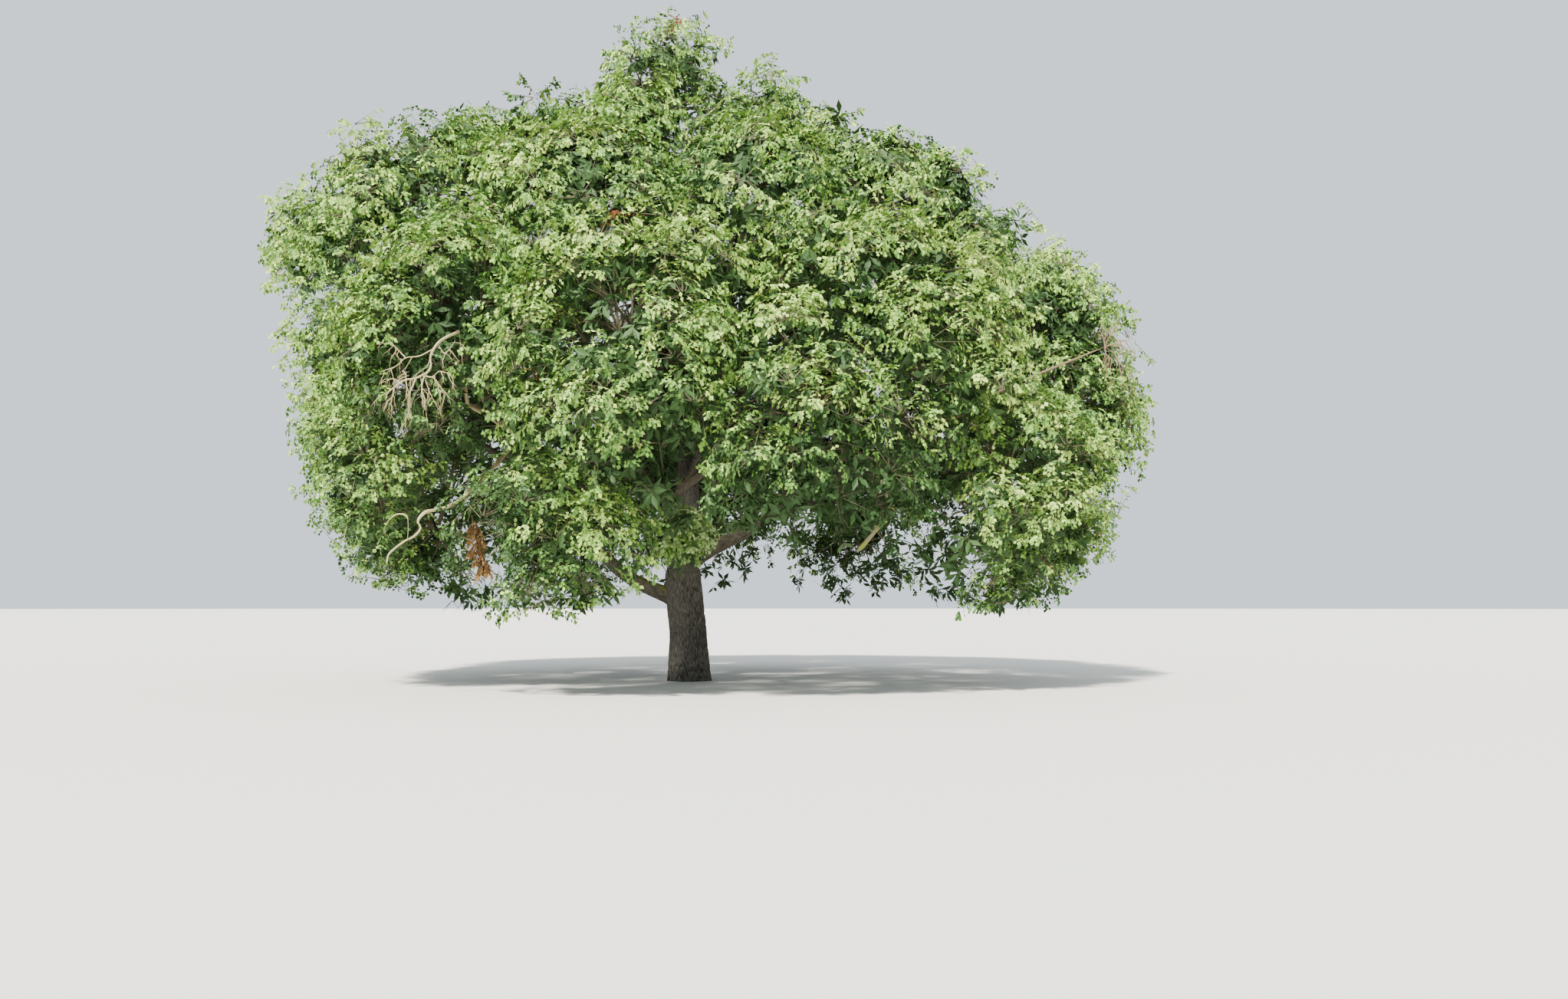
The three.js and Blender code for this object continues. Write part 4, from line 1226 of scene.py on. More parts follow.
TIER_GROUPS = [
    ("skirt", skirt + [fork_clump]), ("middle", middle), ("shoulder", shoulder),
    ("upper", upper + top),
]
for name, group in TIER_GROUPS:
    vertices, faces = joined([part for mass in group for part in wood_parts(mass)])
    piece = mesh_object(f"twigs_{name}", vertices, [faces], [twig_bark])
    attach(piece, "root")


inner = inner_sprays(np.random.default_rng(71))
vertices, faces = joined([
    tubes(inner.branchlets, tapers(inner.branchlets, *SPRAY_RADII), SPRAY_SIDES),
    tubes(inner.twigs, tapers(inner.twigs, *TWIG_RADII), TWIG_SIDES),
])
piece = mesh_object("twigs_inner", vertices, [faces], [twig_bark])
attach(piece, "root")


# Leaves
# Lobed, leathery oak leaves, waxy on top. They stand alternately along each twig and in a
# rosette at its end, and hang a little. Their green differs from spray to spray, partly by luck
# and partly as painted light and shade: lighter where a spray faces the sky, darker low under
# the crown, beside a neighbouring mass and in the crown's hollows.

LEAF_LENGTH = 0.19
LEAF_LENGTHS = (0.75, 1.25)
LEAF_WIDTHS = (0.72, 1.05)
LEAVES_A_TWIG = 14
ROSETTE = 7  # of these stand round the twig's end
LONE_START = 0.36  # the others stand along this stretch of the twig
LONE_STRETCH = 0.56
ROSETTE_AT = 0.98
LEAF_STRAY = 0.03  # how far leaves stray from their places along the twig and round it
LEAF_TURN = 0.6
LONE_TURN = 0.5  # radians that the lone leaves stand round from the level
# A leaf points ahead, aside, down and any way in these shares, then lies down on the dome of
# its pad. It faces out of the pad, up and any way
LEAF_AHEAD, LEAF_ASIDE, LEAF_SAG, LEAF_LOOSE = 0.55, 0.7, 0.65, 0.4
LEAF_LIES = 0.6
FACE_UP, FACE_LOOSE = 0.2, 1.1
PAD_HEART = 0.5  # a pad's leaves face away from a point this far under its middle
SHADE_LEAF = 0.31
SHADE_LENGTHS = (0.75, 1.2)
SHADE_WIDTHS = (0.9, 1.2)
SHADE_START = 0.3
SHADE_LEAVES_A_TWIG = 3
SHADE_SAG, SHADE_LOOSE = 0.5, 0.9
SHADE_FACE_UP, SHADE_FACE_LOOSE = 0.25, 0.35
UNDER_LEAVES = 16  # large shaded leaves under each pad
UNDER_DROP = 0.3  # they stand round a point this far under the pad's middle
UNDER_REACH = 0.5  # as a share of the pad's radius
UNDER_LIFT = 0.3  # and stray up to this much the way they face
UNDER_LOOSE = 0.8
SHADE_DEPTH = 0.3  # these stay at least this far inside their mass's own space
# How many greens darker than the first a pad is, as painted light and shade: to begin with, for
# each 10 m from the crown's middle, where it turns from the sky, and as painted shade on an
# underside low down and beside a neighbour; then, at random, by the luck of the pad, the twig
# and the leaf
TONE_START = 1.0
TONE_HEIGHT = 0.4
TONE_TURNED = 0.4
UNDERSIDE_SHADE = 2.0
BESIDE_SHADE = 1.1
PAD_LUCK, TWIG_LUCK, LEAF_LUCK = 0.5, 0.35, 1.3
UNDERSIDE_FALL = 3  # undersides are darkest from a third of 10 m under the crown's middle
TONE_METRES = 10
HOLLOW_FROM = 1.2  # shaded leaves take the hollow's painted shade where it darkens by at least so many greens
RUST_SHARE = 0.0015
# Browned sprays that show from the front: across and up in the plane through the trunk
RUST_SPOTS = [(-1.94, 11.8), (-3.75, 7.75), (2.9, 7.35)]
RUST_SIZE = 0.24
# A leaf's outline, as shares of its length: its foot, waist and tip, and two lobes a side
LEAF_POINTS = np.array([
    (0.0, 0.0, 0.0), (0.52, 0.0, 0.03), (1.0, 0.0, -0.08),
    (0.36, 0.18, 0.0), (0.74, 0.21, -0.03), (0.41, -0.19, 0.0), (0.79, -0.2, -0.03),
])
LEAF_FACES = np.array([(0, 1, 3), (1, 2, 4), (0, 5, 1), (1, 6, 2)])
# The shaded leaves inside stand in pairs. They are seen only through the outer ones, so
# their lobes are left off
SHADE_POINTS = np.array([
    (0.0, 0.0, 0.0), (0.36, 0.39, 0.0), (0.88, 0.47, -0.05), (0.52, 0.08, 0.03),
    (0.51, -0.11, 0.03), (0.85, -0.53, -0.05), (0.33, -0.41, 0.0),
])
SHADE_FACES = np.array([(0, 2, 1), (0, 3, 2), (0, 5, 4), (0, 6, 5)])


def leaf_material(name, dark, light, roughness=0.55):
    """A leaf's upper side: waxy and leathery, so half matt with a soft broad gleam."""
    material, shader = new_material(name)
    # Spray differs from spray over about 380 mm
    spread = add_node(material, "ShaderNodeTexNoise", {"Scale": 2.6, "Detail": 4.0})
    # Side veins 10 mm apart, as on a real leaf
    veins = add_node(material, "ShaderNodeTexNoise", {"Scale": 95.0, "Detail": 1.0})
    shade = add_node(
        material, "ShaderNodeMapRange", {"From Min": 0.3, "From Max": 0.7},
        {"Value": spread.outputs["Fac"]},
    )
    colour = add_node(
        material, "ShaderNodeMix", {"data_type": "RGBA", 6: linear(dark), 7: linear(light)},
        {"Factor": shade.outputs["Result"]},
    )
    bump = add_node(
        material, "ShaderNodeBump", {"Strength": 0.35, "Distance": 0.002},
        {"Height": veins.outputs["Fac"]},
    )
    set_node(
        material, shader, {"Roughness": roughness, "Specular IOR Level": 0.22},
        {"Base Color": colour.outputs[2], "Normal": bump.outputs["Normal"]},
    )
    return material


# Copies of one oak green at steps of light and shade, from sunlit through bright, middle and
# deep to the hollow green: painted light and shade, dealt out with some luck. The shade green of
# the leaves inside is painted shade, the fork green paints the shade at the fork, and only the
# browned green is the leaves' own colour.
leaf_greens = [
    leaf_material("oak_leaf_sunlit", "#9cba50", "#bfd873"),
    leaf_material("oak_leaf_bright", "#779f42", "#95ba57"),
    leaf_material("oak_leaf_middle", "#658e3d", "#81a94e"),
    leaf_material("oak_leaf_deep", "#496f31", "#64893f"),
    leaf_material("oak_leaf_hollow_shade", "#2a431f", "#385528"),
    leaf_material("oak_leaf_shade", "#2f4824", "#3f5b2f"),
    leaf_material("oak_leaf_browned", "#6f4326", "#96613a"),
    leaf_material("oak_leaf_fork_shade", "#87a562", "#a9c280"),
]
HOLLOW_SHADE_GREEN = 4
SHADE_GREEN = 5
BROWNED = 6
FORK_SHADE_GREEN = 7  # the clump at the fork hangs in shade, so in place of the two brightest greens its leaves get a greyer green: painted shade


def place_leaves(pattern, pattern_faces, roots, along, normal, length, width):
    """Leaves from one pattern: where each starts, points to and faces, and its size."""
    along = unit(along)
    side = unit(np.cross(normal, along))
    face = np.cross(along, side)
    x, y, z = (pattern[None, :, k, None] for k in range(3))
    long = length[:, None, None]
    wide = (length * width)[:, None, None]
    points = roots[:, None] + long * (x * along[:, None] + z * face[:, None])
    points = points + wide * y * side[:, None]
    faces = pattern_faces[None] + (np.arange(len(roots)) * len(pattern))[:, None, None]
    return points.reshape(-1, 3), faces.reshape(-1, 3)


def along_twigs(twigs, twig, share):
    """Points at shares of the way along twigs."""
    return twigs[twig, 0] + (twigs[twig, 1] - twigs[twig, 0]) * share[:, None]


def outer_leaves(grown, rng):
    """Leaves along each twig of a pad, and a hanging rosette at its end."""
    outer = np.flatnonzero(~grown.is_shade[grown.clump])
    count = len(outer) * LEAVES_A_TWIG
    twig = np.repeat(outer, LEAVES_A_TWIG)
    order = np.tile(np.arange(LEAVES_A_TWIG), len(outer))
    lone = LEAVES_A_TWIG - ROSETTE
    share = np.where(order < lone, LONE_START + LONE_STRETCH * order / lone, ROSETTE_AT)
    share = share + rng.uniform(-LEAF_STRAY, LEAF_STRAY, count)
    roots = along_twigs(grown.twigs, twig, share)
    ahead = unit(grown.twigs[:, 1] - grown.twigs[:, 0])[twig]
    turn = np.where(order < lone, np.pi * order + LONE_TURN, 2 * np.pi * order / ROSETTE)
    turn = turn + rng.uniform(-LEAF_TURN, LEAF_TURN, count)
    pad = grown.clump[twig]
    out = unit(roots - grown.middles[pad] + PAD_HEART * grown.crowns[pad])
    across = unit(np.cross(out, ahead))
    spoke = np.cos(turn)[:, None] * across + np.sin(turn)[:, None] * np.cross(across, ahead)
    along = LEAF_AHEAD * ahead + LEAF_ASIDE * spoke - LEAF_SAG * UP
    along = along + LEAF_LOOSE * loose_ways(rng, count)
    along -= LEAF_LIES * (along * out).sum(axis=1, keepdims=True) * out
    normal = out + FACE_UP * UP + FACE_LOOSE * loose_ways(rng, count)
    length = LEAF_LENGTH * rng.uniform(*LEAF_LENGTHS, count)
    width = rng.uniform(*LEAF_WIDTHS, count)
    return twig, place_leaves(LEAF_POINTS, LEAF_FACES, roots, along, normal, length, width)


def shade_places(twigs, used):
    """Where shaded leaves stand along the used twigs, and which twig each stands on."""
    twig = np.repeat(used, SHADE_LEAVES_A_TWIG)
    share = np.tile(np.linspace(SHADE_START, 1, SHADE_LEAVES_A_TWIG), len(used))
    return along_twigs(twigs, twig, share), twig


def shade_leaves(mass, grown, rng):
    """Leaves inside the mass: on its shaded clumps and under its pads."""
    shade = np.flatnonzero(grown.is_shade[grown.clump])
    clump_roots, twig = shade_places(grown.twigs, shade)
    clump_out = grown.facings[grown.clump[twig]]
    pad = np.repeat(np.flatnonzero(~grown.is_shade), UNDER_LEAVES)
    loose = loose_ways(rng, len(pad))
    pad_out = unit(grown.crowns[pad] + UNDER_LOOSE * loose)
    middle = grown.middles[pad] - UNDER_DROP * grown.crowns[pad]
    pad_roots = middle + UNDER_REACH * PAD_RADIUS * (loose + UNDER_LIFT * pad_out)
    roots = np.vstack([clump_roots, pad_roots])
    hidden = in_space(mass, roots, -SHADE_DEPTH, np.full(len(roots), PAD_DEPTH + SHADE_DEPTH))
    hidden &= ~in_sky_gap(roots) & ~hides(roots, shown_wood)
    return dark_leaves(roots[hidden], np.vstack([clump_out, pad_out])[hidden], rng)


def dark_leaves(roots, out, rng):
    """Shaded leaves from their roots. They face outwards, to catch what light comes in."""
    count = len(roots)
    along = SHADE_LOOSE * loose_ways(rng, count) - SHADE_SAG * UP
    normal = out + SHADE_FACE_UP * UP + SHADE_FACE_LOOSE * loose_ways(rng, count)
    length = SHADE_LEAF * rng.uniform(*SHADE_LENGTHS, count)
    width = rng.uniform(*SHADE_WIDTHS, count)
    return place_leaves(SHADE_POINTS, SHADE_FACES, roots, along, normal, length, width)


def browned_twigs(tips):
    """Which twigs end where the front of the crown has a browned spray."""
    seen = upright(tips)
    browned = np.zeros(len(tips), bool)
    for spot in RUST_SPOTS:
        browned |= np.linalg.norm(seen - np.array(spot), axis=1) < RUST_SIZE
    return browned & (tips[:, 1] < 0)


def leaves_of(mass, rng):
    """All leaves of one mass and the green of each face."""
    grown = growth[mass.name]
    twig, (points, faces) = outer_leaves(grown, rng)
    # Painted light and shade: each pad's green is dealt by its height, how it turns to the sky,
    # whether it is a low underside, whether it lies beside a neighbour, and by luck
    height = (grown.middles[:, 2] - CROWN_MIDDLE) / TONE_METRES
    facing_up = grown.facings[:, 2]
    luck = rng.normal(size=len(grown.middles))
    underside = np.clip(-facing_up, 0, 1) * np.clip(-UNDERSIDE_FALL * height, 0, 1)
    tone = TONE_START + TONE_HEIGHT * np.abs(height) - TONE_TURNED * facing_up
    tone = tone + UNDERSIDE_SHADE * underside
    tone += PAD_LUCK * luck + BESIDE_SHADE * grown.beside
    # Painted shade in the crown's hollows, which the clump at the fork is spared
    if mass is not fork_clump:
        tone += hollow_shade_tone(grown.middles)
    twig_tone = tone[grown.clump] + TWIG_LUCK * rng.normal(size=len(grown.twigs))
    leaf_tone = twig_tone[twig] + LEAF_LUCK * rng.normal(size=len(twig))
    leaf_tone = np.clip(np.round(leaf_tone), 0, HOLLOW_SHADE_GREEN)
    # Painted shade on the clump at the fork: its two brightest greens give way to the greyer
    # fork green
    if mass is fork_clump:
        leaf_tone[leaf_tone < 2] = FORK_SHADE_GREEN
    browned = browned_twigs(grown.twigs[:, 1]) | (rng.random(len(twig_tone)) < RUST_SHARE)
    leaf_tone[browned[twig]] = BROWNED
    slots = np.repeat(leaf_tone, len(LEAF_FACES))
    shade_points, shade_faces = shade_leaves(mass, grown, rng)
    # Shaded leaves take the dark shade green, and in a hollow the darker hollow green: both
    # painted shade
    in_shaded_hollow = hollow_shade_tone(shade_points[::len(SHADE_POINTS)]) > HOLLOW_FROM
    shade_tone = np.where(in_shaded_hollow, HOLLOW_SHADE_GREEN, SHADE_GREEN)
    shade_slots = np.repeat(shade_tone, len(SHADE_FACES))
    vertices, faces = joined([(points, faces), (shade_points, shade_faces)])
    return vertices, faces, np.concatenate([slots, shade_slots])


leaf_pieces = []
for name, group in TIER_GROUPS:
    half = (len(group) + 1) // 2
    leaf_pieces += [(f"leaves_{name}_1", group[:half]), (f"leaves_{name}_2", group[half:])]
for name, group in leaf_pieces:
    parts = []
    slots = []
    for mass in group:
        points, faces, tone = leaves_of(mass, np.random.default_rng(900 + mass.index))
        parts.append((points, faces))
        slots.append(tone)
    vertices, faces = joined(parts)
    piece = mesh_object(name, vertices, [faces], leaf_greens, np.concatenate(slots))
    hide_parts(*[mass.name for mass in group])
    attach(piece, "root")


roots, twig = shade_places(inner.twigs, np.arange(len(inner.twigs)))
vertices, faces = dark_leaves(roots, inner.facings[twig], np.random.default_rng(72))
# The inner sprays' leaves all take the dark shade green: painted shade
piece = mesh_object("leaves_inner", vertices, [faces], [leaf_greens[SHADE_GREEN]])
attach(piece, "root")


# Dead wood
# Two limbs have died back to bare forks, one in a dark recess at the left, whose leaves are
# darkened as painted shade, and one at the right edge. Their bark has dropped off, so the wood
# is dry, pale tan and matt.

SIDE_TWIGS = 5
FINE_TWIGS = 2
SIDE_REACH = (0.1, 0.22)  # a side twig's length: metres, and a share of its fork's length
FINE_REACH = 0.16
TWIG_REACHES = (0.6, 1.2)
TWIG_START, TWIG_STRETCH = 0.3, 0.65  # where on a fork or twig thinner ones leave it
TWIG_AHEAD, TWIG_ASIDE, TWIG_SAG = 0.6, 0.8, 0.75
# The points, sway and droop of a side twig's path, a fine twig's and a bare fork's
SIDE_BENDS = (4, 0.4, 0.35)
FINE_BENDS = (3, 0.3, 0.4)
BARE_FORK_BENDS = (7, 0.35, 0.15)
FORK_TAPER = 0.4
SIDE_RADII = (0.007, 0.003)
SIDE_RADIUS_SHARE = 0.6  # at most this share of the fork's radius
FINE_RADII = (0.004, 0.002)
# The sides of stems, forks, side twigs and fine twigs
DEAD_STEM_SIDES, FORK_SIDES, SIDE_SIDES, FINE_SIDES = 8, 6, 4, 3
DEAD_STEM_POINTS = 14
EARLY_END = 9  # the hanging limb's stem turns off to its first fork at this point
# The limb in the hollow comes down from above and forks to the left; thinner forks hang from
# it. Each is its thickness in metres and its path: across, out and up from the limb's fork
HANGING_LIMB = [
    (0.034, [(0.5, 0.55, 0.95), (0.22, 0.2, 0.66), (0.11, 0.05, 0.35), (0.14, 0, 0.16),
             (0.09, -0.02, 0.05), (0, 0, 0), (-0.14, -0.05, -0.08), (-0.33, -0.08, -0.12),
             (-0.51, -0.05, -0.24), (-0.66, 0, -0.35), (-0.7, 0.02, -0.5)]),
    (0.014, [(0.02, 0, -0.01), (0.01, -0.1, -0.22), (0.03, -0.14, -0.38), (0.05, -0.12, -0.66)]),
    (0.016, [(-0.12, -0.04, -0.07), (-0.17, -0.1, -0.25), (-0.22, -0.12, -0.4),
             (-0.22, -0.12, -0.64), (-0.2, -0.1, -0.88)]),
    (0.012, [(-0.3, -0.08, -0.12), (-0.26, -0.14, -0.25), (-0.25, -0.16, -0.42)]),
    (0.012, [(-0.52, -0.05, -0.25), (-0.53, -0.1, -0.4), (-0.56, -0.1, -0.6)]),
    (0.01, [(-0.3, -0.08, -0.11), (-0.31, -0.04, 0), (-0.35, -0.02, 0.07)]),
    (0.012, [(-0.4, -0.07, -0.16), (-0.52, -0.12, -0.1), (-0.64, -0.1, -0.12)]),
    (0.014, [(0.05, 0, -0.03), (0.19, -0.05, -0.05), (0.3, -0.05, 0.05), (0.42, 0, 0.04),
             (0.58, 0.05, -0.06)]),
    (0.012, [(0.19, -0.05, -0.05), (0.3, -0.1, -0.17), (0.34, -0.1, -0.32),
             (0.47, -0.08, -0.36)]),
    (0.009, [(0.04, 0, -0.1), (0.15, 0, -0.38), (0.28, 0.02, -0.62)]),
    (0.013, [(0.13, 0.1, 0.5), (-0.11, 0.05, 0.36), (-0.34, 0, 0.32), (-0.5, 0, 0.17),
             (-0.84, 0.05, 0.06)]),
    (0.012, [(-0.34, 0, 0.32), (-0.5, 0.05, 0.48), (-0.68, 0.1, 0.66)]),
    (0.018, [(0.22, 0.2, 0.6), (0.36, 0.1, 0.42), (0.46, 0.1, 0.52), (0.55, 0.12, 0.68)]),
]
HANGING_SHIFT = np.array([0.16, 0.0, 0.16])
BARE_FORKS = 9
BARE_FORK_SIDE = -0.2
BARE_FORK_FILL = 0.62
BARE_FORK_RADIUS = 0.012


def dead_wood_material(name, dark, pale):
    """Weathered oak with no bark: long fibres of two shades, quite rough."""
    material, shader = new_material(name)
    # Bundles of fibres 45 mm apart. Single ones are 1 mm, too fine to show
    fibres = add_node(
        material, "ShaderNodeTexNoise", {"Scale": 22.0, "Detail": 5.0, "Roughness": 0.7},
    )
    colour = add_node(
        material, "ShaderNodeMix",
        {"data_type": "RGBA", 6: linear(dark), 7: linear(pale)},
        {"Factor": fibres.outputs["Fac"]},
    )
    bump = add_node(
        material, "ShaderNodeBump", {"Strength": 0.5, "Distance": 0.003},
        {"Height": fibres.outputs["Fac"]},
    )
    set_node(
        material, shader, {"Roughness": 0.9},
        {"Base Color": colour.outputs[2], "Normal": bump.outputs["Normal"]},
    )
    return material


def crooked(start, way, length, points, sway, droop, rng):
    """A path that bends this way and that and sinks towards its end."""
    share = np.linspace(0, 1, points)[:, None]
    path = start + unit(np.asarray(way, float)) * length * share
    bends = np.cumsum(rng.normal(size=(points, 3)), axis=0) * sway * length / points
    bends[0] = 0
    return path + bends - UP * droop * length * share**2


def side_growth(path, count, length, bends, rng):
    """Thinner twigs that leave a path on both sides."""
    grown = []
    ahead = unit(path[-1] - path[0])
    for index in range(count):
        share = TWIG_START + TWIG_STRETCH * (index + rng.random()) / count
        step = share * (len(path) - 1)
        low = min(int(step), len(path) - 2)
        start = path[low] + (path[low + 1] - path[low]) * (step - low)
        way = TWIG_AHEAD * ahead + TWIG_ASIDE * unit(rng.normal(size=3)) - TWIG_SAG * UP
        grown.append(crooked(start, way, length * rng.uniform(*TWIG_REACHES), *bends, rng))
    return grown


def bare_forks(mass, rng):
    """Paths that spread like the branches of a leafy mass, and how thick each is."""
    directions = spread_directions(2 * BARE_FORKS, mass.index)
    directions = directions[directions @ mass.outward > BARE_FORK_SIDE][:BARE_FORKS]
    room = BARE_FORK_FILL * space_along(mass, directions)
    return [
        (BARE_FORK_RADIUS, crooked(mass.hub, way, length, *BARE_FORK_BENDS, rng))
        for way, length in zip(directions, room)
    ]


def hanging_forks(mass):
    """The hanging limb's paths, each smoothed, and how thick each is."""
    start = mass.hub + HANGING_SHIFT
    forks = []
    for thick, path in HANGING_LIMB:
        limb = Limb("fork", list(start + np.array(path)), thick, FORK_TAPER * thick)
        forks.append((thick, limb.at(np.linspace(0, 1, 3 * len(path)))))
    return forks


def dead_fork(fork, radius, rng):
    """A bare fork with side twigs and finer ones on those."""
    length = np.linalg.norm(np.diff(fork, axis=0), axis=1).sum()
    reach = SIDE_REACH[0] + SIDE_REACH[1] * length
    sides = side_growth(fork, SIDE_TWIGS, reach, SIDE_BENDS, rng)
    fines = []
    for side in sides:
        fines += side_growth(side, FINE_TWIGS, FINE_REACH, FINE_BENDS, rng)
    fork, sides, fines = fork[None], np.array(sides), np.array(fines)
    side_radius = min(SIDE_RADII[0], SIDE_RADIUS_SHARE * radius)
    return [
        tubes(fork, tapers(fork, radius, FORK_TAPER * radius), FORK_SIDES),
        tubes(sides, tapers(sides, side_radius, SIDE_RADII[1]), SIDE_SIDES),
        tubes(fines, tapers(fines, *FINE_RADII), FINE_SIDES),
    ]


dead_wood = dead_wood_material("weathered_dead_wood", "#83744e", "#d2c491")
brown_wood = dead_wood_material("brown_dead_wood", "#6a5743", "#a38b6b")
dead_luck = np.random.default_rng(64)
# Each dead limb, its forks, the radius of its stem's tip, and its wood
for mass, forks, tip_radius, wood in (
    (dead_branch, hanging_forks(dead_branch), 0.04, dead_wood),
    (bare_twigs, bare_forks(bare_twigs, dead_luck), 0.014, brown_wood),
):
    stem = mass.stem.at(np.linspace(0, 1, DEAD_STEM_POINTS))
    if mass is dead_branch:
        stem = np.vstack([stem[:EARLY_END], forks[0][1][:1]])
    stem = stem[None]
    parts = [tubes(stem, tapers(stem, mass.stem.radius, tip_radius), DEAD_STEM_SIDES)]
    for radius, fork in forks:
        parts += dead_fork(fork, radius, dead_luck)
    vertices, faces = joined(parts)
    piece = mesh_object(f"{mass.name}_wood", vertices, [faces], [wood])
    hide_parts(mass.name)
    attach(piece, "root")


# Crooked limb and broken stub
# Low on the left a pale crooked limb shows under the leaves, and to the right of the fork the
# broken end of a bough hangs down, spotted with lichen. Both have lost their bark and leaves.

KNOT_RINGS = 3  # rings from one swelling to the next
KNOT_SIZES = (0.8, 1.4)
# A smaller limb that leaves the crooked one, arches over and hangs down beside it
crooked_side = Limb("crooked_side", [
    (-5.12, -6.0, 3.11), (-5.1, -6.03, 3.34), (-5.13, -6.06, 3.57), (-5.3, -6.1, 3.6),
    (-5.48, -6.15, 3.43), (-5.55, -6.2, 3.17),
], 0.02, 0.009)


def knotty_limb(item, sides, rings, seed):
    """A bare limb's points and faces, with swellings along it."""
    path = item.at(np.linspace(0, 1, rings))[None]
    knots = np.random.default_rng(seed).uniform(*KNOT_SIZES, rings // KNOT_RINGS + 2)
    swelling = np.interp(np.arange(rings) / KNOT_RINGS, np.arange(len(knots)), knots)
    return tubes(path, tapers(path, item.radius, item.tip_radius) * swelling, sides)


def lichen_material():
    """Crusts of yellow green lichen over pale weathered wood: quite matt."""
    material, shader = new_material("lichen_on_bark")
    # Crusts of about 110 mm, some grown together
    crusts = add_node(material, "ShaderNodeTexNoise", {"Scale": 9.0, "Detail": 4.0})
    edge = add_node(
        material, "ShaderNodeMapRange", {"From Min": 0.55, "From Max": 0.6},
        {"Value": crusts.outputs["Fac"]},
    )
    colour = add_node(
        material, "ShaderNodeMix",
        {"data_type": "RGBA", 6: linear("#9a9074"), 7: linear("#929a4a")},
        {"Factor": edge.outputs["Result"]},
    )
    set_node(material, shader, {"Roughness": 0.9}, {"Base Color": colour.outputs[2]})
    return material


stub = knotty_limb(broken_stub, sides=12, rings=24, seed=85)
vertices, faces = joined([
    knotty_limb(crooked_limb, sides=10, rings=80, seed=83),
    knotty_limb(crooked_side, sides=8, rings=24, seed=84), stub,
])
slots = np.zeros(len(faces))
slots[-len(stub[1]):] = 1
piece = mesh_object(
    "crooked_limbs", vertices, [faces], [dead_wood, lichen_material()], slots, smooth=True,
)
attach(piece, "root")


# Dead leaves
# One low spray has died with its leaves on. They are dry, orange brown and curled, and hang
# in a loose tassel from a thin twig.

TASSEL_SIDES = 17  # side twigs
TASSEL_LEAVES = 24  # on each of them
TASSEL_REACH = 0.28
TASSEL_REACHES = (0.75, 1.1)
TASSEL_NARROWS = (1.2, 0.5)  # its reach at the top, and how much less it is at the foot
TASSEL_FLAT = 0.6  # how deep it is from front to back beside its width
TASSEL_SAG = 0.9
DEAD_TURN = 2.4  # radians from one side twig to the next
# The points, sway and droop of its middle twig and of the side twigs
MAIN_BENDS = (6, 0.1, 0.0)
TASSEL_BENDS = (3, 0.3, 0.2)
DEAD_LEAF = 0.2
DEAD_LENGTHS = (0.7, 1.2)
DEAD_WIDTHS = (0.8, 1.1)
DEAD_CURL = np.array([1, 0.6, 1.5])  # a dry leaf is narrower and bends further
DEAD_LOOSE, DEAD_SAG = 0.4, 0.95
DEAD_FACE = np.array([1, 1, 0.4])  # they face any way, but more to the side than up or down
DEAD_START = 0.2  # the share of a side twig that has no leaves
STEM_END = 0.85  # the share of the stem after which it turns off to the tassel's top
TASSEL_STEM_POINTS = 11
MAIN_RADII = (0.014, 0.005)
TASSEL_RADII = (0.006, 0.003)
# The sides of its stem, middle twig and side twigs
TASSEL_STEM_SIDES, MAIN_SIDES, TASSEL_TWIG_SIDES = 6, 5, 3


def dead_leaf_tassel(mass, rng):
    """The tassel's twigs and its leaves."""
    fall = tassel_foot - tassel_top
    main = crooked(tassel_top, fall, np.linalg.norm(fall), *MAIN_BENDS, rng)
    sides = []
    for index in range(TASSEL_SIDES):
        start = tassel_top + fall * (index + 0.5) / TASSEL_SIDES
        angle = DEAD_TURN * index
        way = np.array([math.cos(angle), TASSEL_FLAT * math.sin(angle), -TASSEL_SAG])
        narrow = TASSEL_NARROWS[0] - TASSEL_NARROWS[1] * index / TASSEL_SIDES
        reach = TASSEL_REACH * narrow * rng.uniform(*TASSEL_REACHES)
        sides.append(crooked(start, way, reach, *TASSEL_BENDS, rng))
    sides = np.array(sides)
    twig = np.repeat(np.arange(TASSEL_SIDES), TASSEL_LEAVES)
    count = len(twig)
    share = np.tile(np.linspace(DEAD_START, 1, TASSEL_LEAVES), TASSEL_SIDES)
    roots = sides[twig, 0] + (sides[twig, 2] - sides[twig, 0]) * share[:, None]
    along = DEAD_LOOSE * loose_ways(rng, count) - DEAD_SAG * UP
    normal = loose_ways(rng, count) * DEAD_FACE
    length = DEAD_LEAF * rng.uniform(*DEAD_LENGTHS, count)
    width = rng.uniform(*DEAD_WIDTHS, count)
    leaves = place_leaves(
        LEAF_POINTS * DEAD_CURL, LEAF_FACES, roots, along, normal, length, width,
    )
    stem = mass.stem.at(np.linspace(0, STEM_END, TASSEL_STEM_POINTS))
    stem = np.vstack([stem, tassel_top[None]])[None]
    wood = joined([
        tubes(stem, tapers(stem, mass.stem.radius, MAIN_RADII[0]), TASSEL_STEM_SIDES),
        tubes(main[None], tapers(main[None], *MAIN_RADII), MAIN_SIDES),
        tubes(sides, tapers(sides, *TASSEL_RADII), TASSEL_TWIG_SIDES),
    ])
    return wood, leaves


wood, leaves = dead_leaf_tassel(dead_spray, np.random.default_rng(77))
piece = mesh_object("dead_leaf_twigs", wood[0], [wood[1]], [twig_bark])
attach(piece, "root")
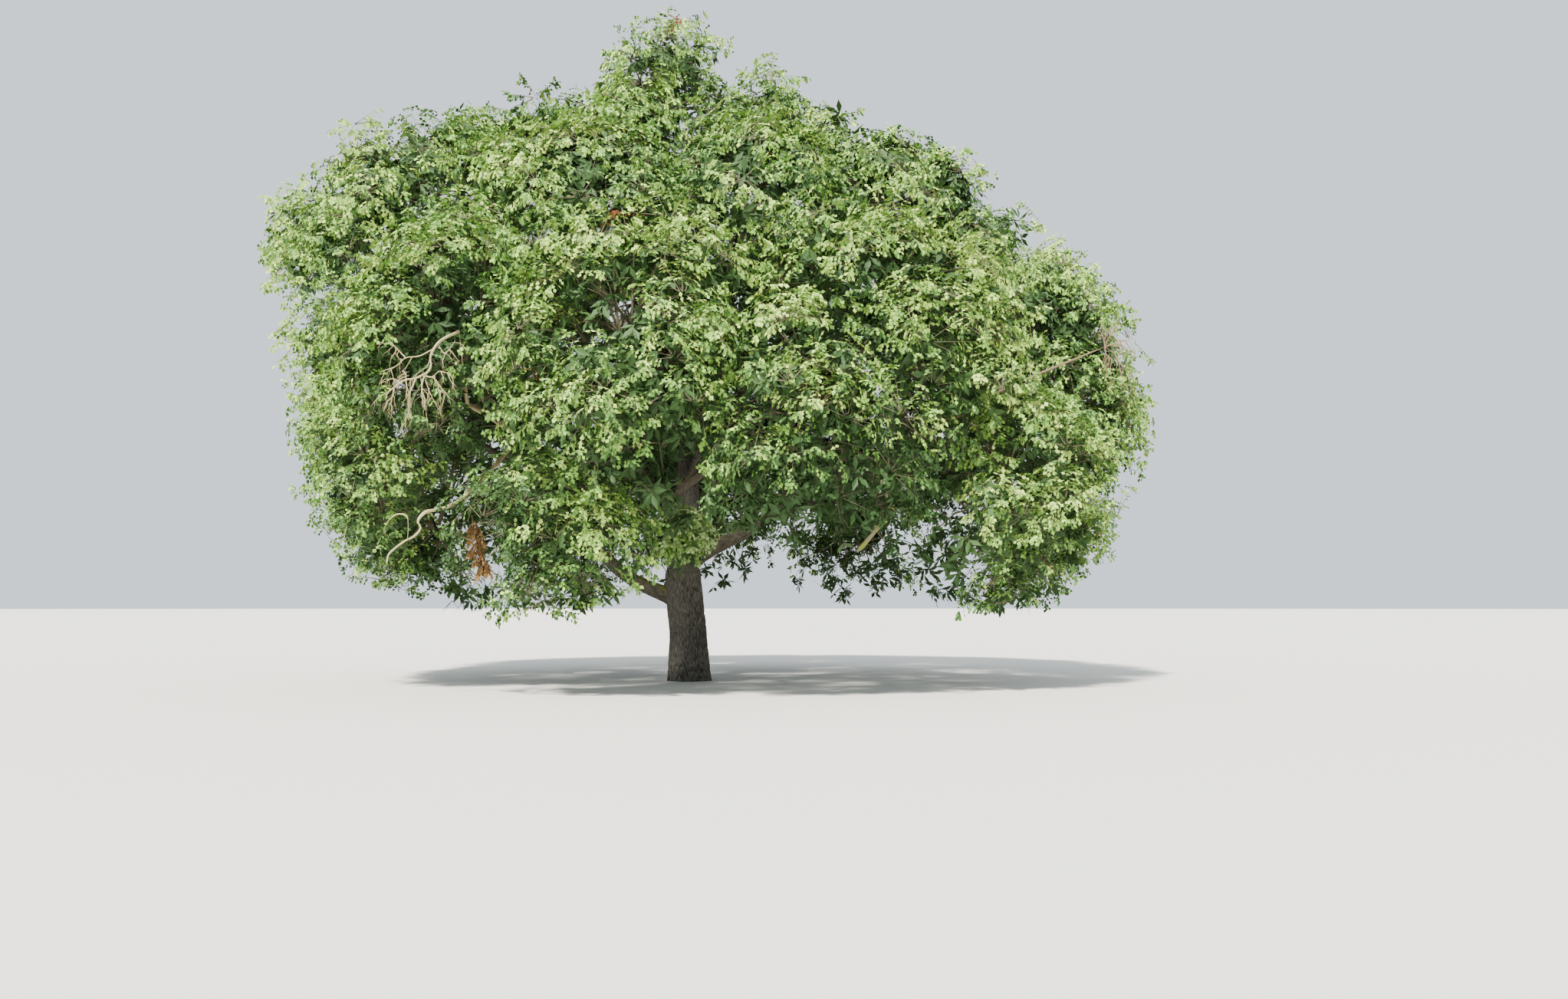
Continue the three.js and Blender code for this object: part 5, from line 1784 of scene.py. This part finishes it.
# A dry leaf has lost its gleam
brown = leaf_material("oak_leaf_dead", "#5f4526", "#bd9560", 0.85)
piece = mesh_object("dead_leaves", leaves[0], [leaves[1]], [brown])
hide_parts("dead_leaf_spray")
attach(piece, "root")


# Floor, light and camera
# A pale matt floor just under the trunk's cut, an even sky and a warm sun that stands high at
# the front left. The camera is at eye level and looks up a little.

FLOOR_RADIUS = 900.0
FLOOR_SIDES = 96
FLOOR_LEVEL = -0.002
SKY_STRENGTH = 1.45
SUN_STRENGTH = 12.0
SUN_COLOUR = (1.0, 0.97, 0.9)
SUN_WIDTH = 4  # degrees, for shadows as soft as in thin haze
SUN_TILT = 41  # degrees from upright
SUN_TURN = -19  # degrees from straight in front
CAMERA_TILT = 95  # degrees from straight down
LENS_LENGTH = 28  # millimetres, as is the sensor's width
SENSOR_WIDTH = 36
SIGHT = 2000  # metres, past the floor's far edge

bpy.ops.mesh.primitive_circle_add(
    vertices=FLOOR_SIDES, radius=FLOOR_RADIUS, fill_type="NGON", location=(0, 0, FLOOR_LEVEL),
)
floor = bpy.context.object
floor.name = "floor"
# Pale screed, trowelled smooth: matt and without a gleam
material, shader = new_material("pale_floor")
set_node(material, shader, {"Base Color": linear("#dedbd4"), "Roughness": 0.9})
floor.data.materials.append(material)

world = bpy.data.worlds.new("studio")
world.use_nodes = True
set_node(
    world, world.node_tree.nodes["Background"],
    {"Color": linear("#e0e9f2"), "Strength": SKY_STRENGTH},
)
bpy.context.scene.world = world

sun = bpy.data.lights.new("key_light", "SUN")
sun.energy = SUN_STRENGTH
sun.angle = math.radians(SUN_WIDTH)
sun.color = SUN_COLOUR
key = bpy.data.objects.new("key_light", sun)
key.rotation_euler = (math.radians(SUN_TILT), 0, math.radians(SUN_TURN))
bpy.context.scene.collection.objects.link(key)

lens = bpy.data.cameras.new("camera")
lens.lens = LENS_LENGTH
lens.sensor_width = SENSOR_WIDTH
lens.clip_end = SIGHT
camera = bpy.data.objects.new("camera", lens)
camera.location = VIEWPOINT
camera.rotation_euler = (math.radians(CAMERA_TILT), 0, 0)
bpy.context.scene.collection.objects.link(camera)
bpy.context.scene.camera = camera
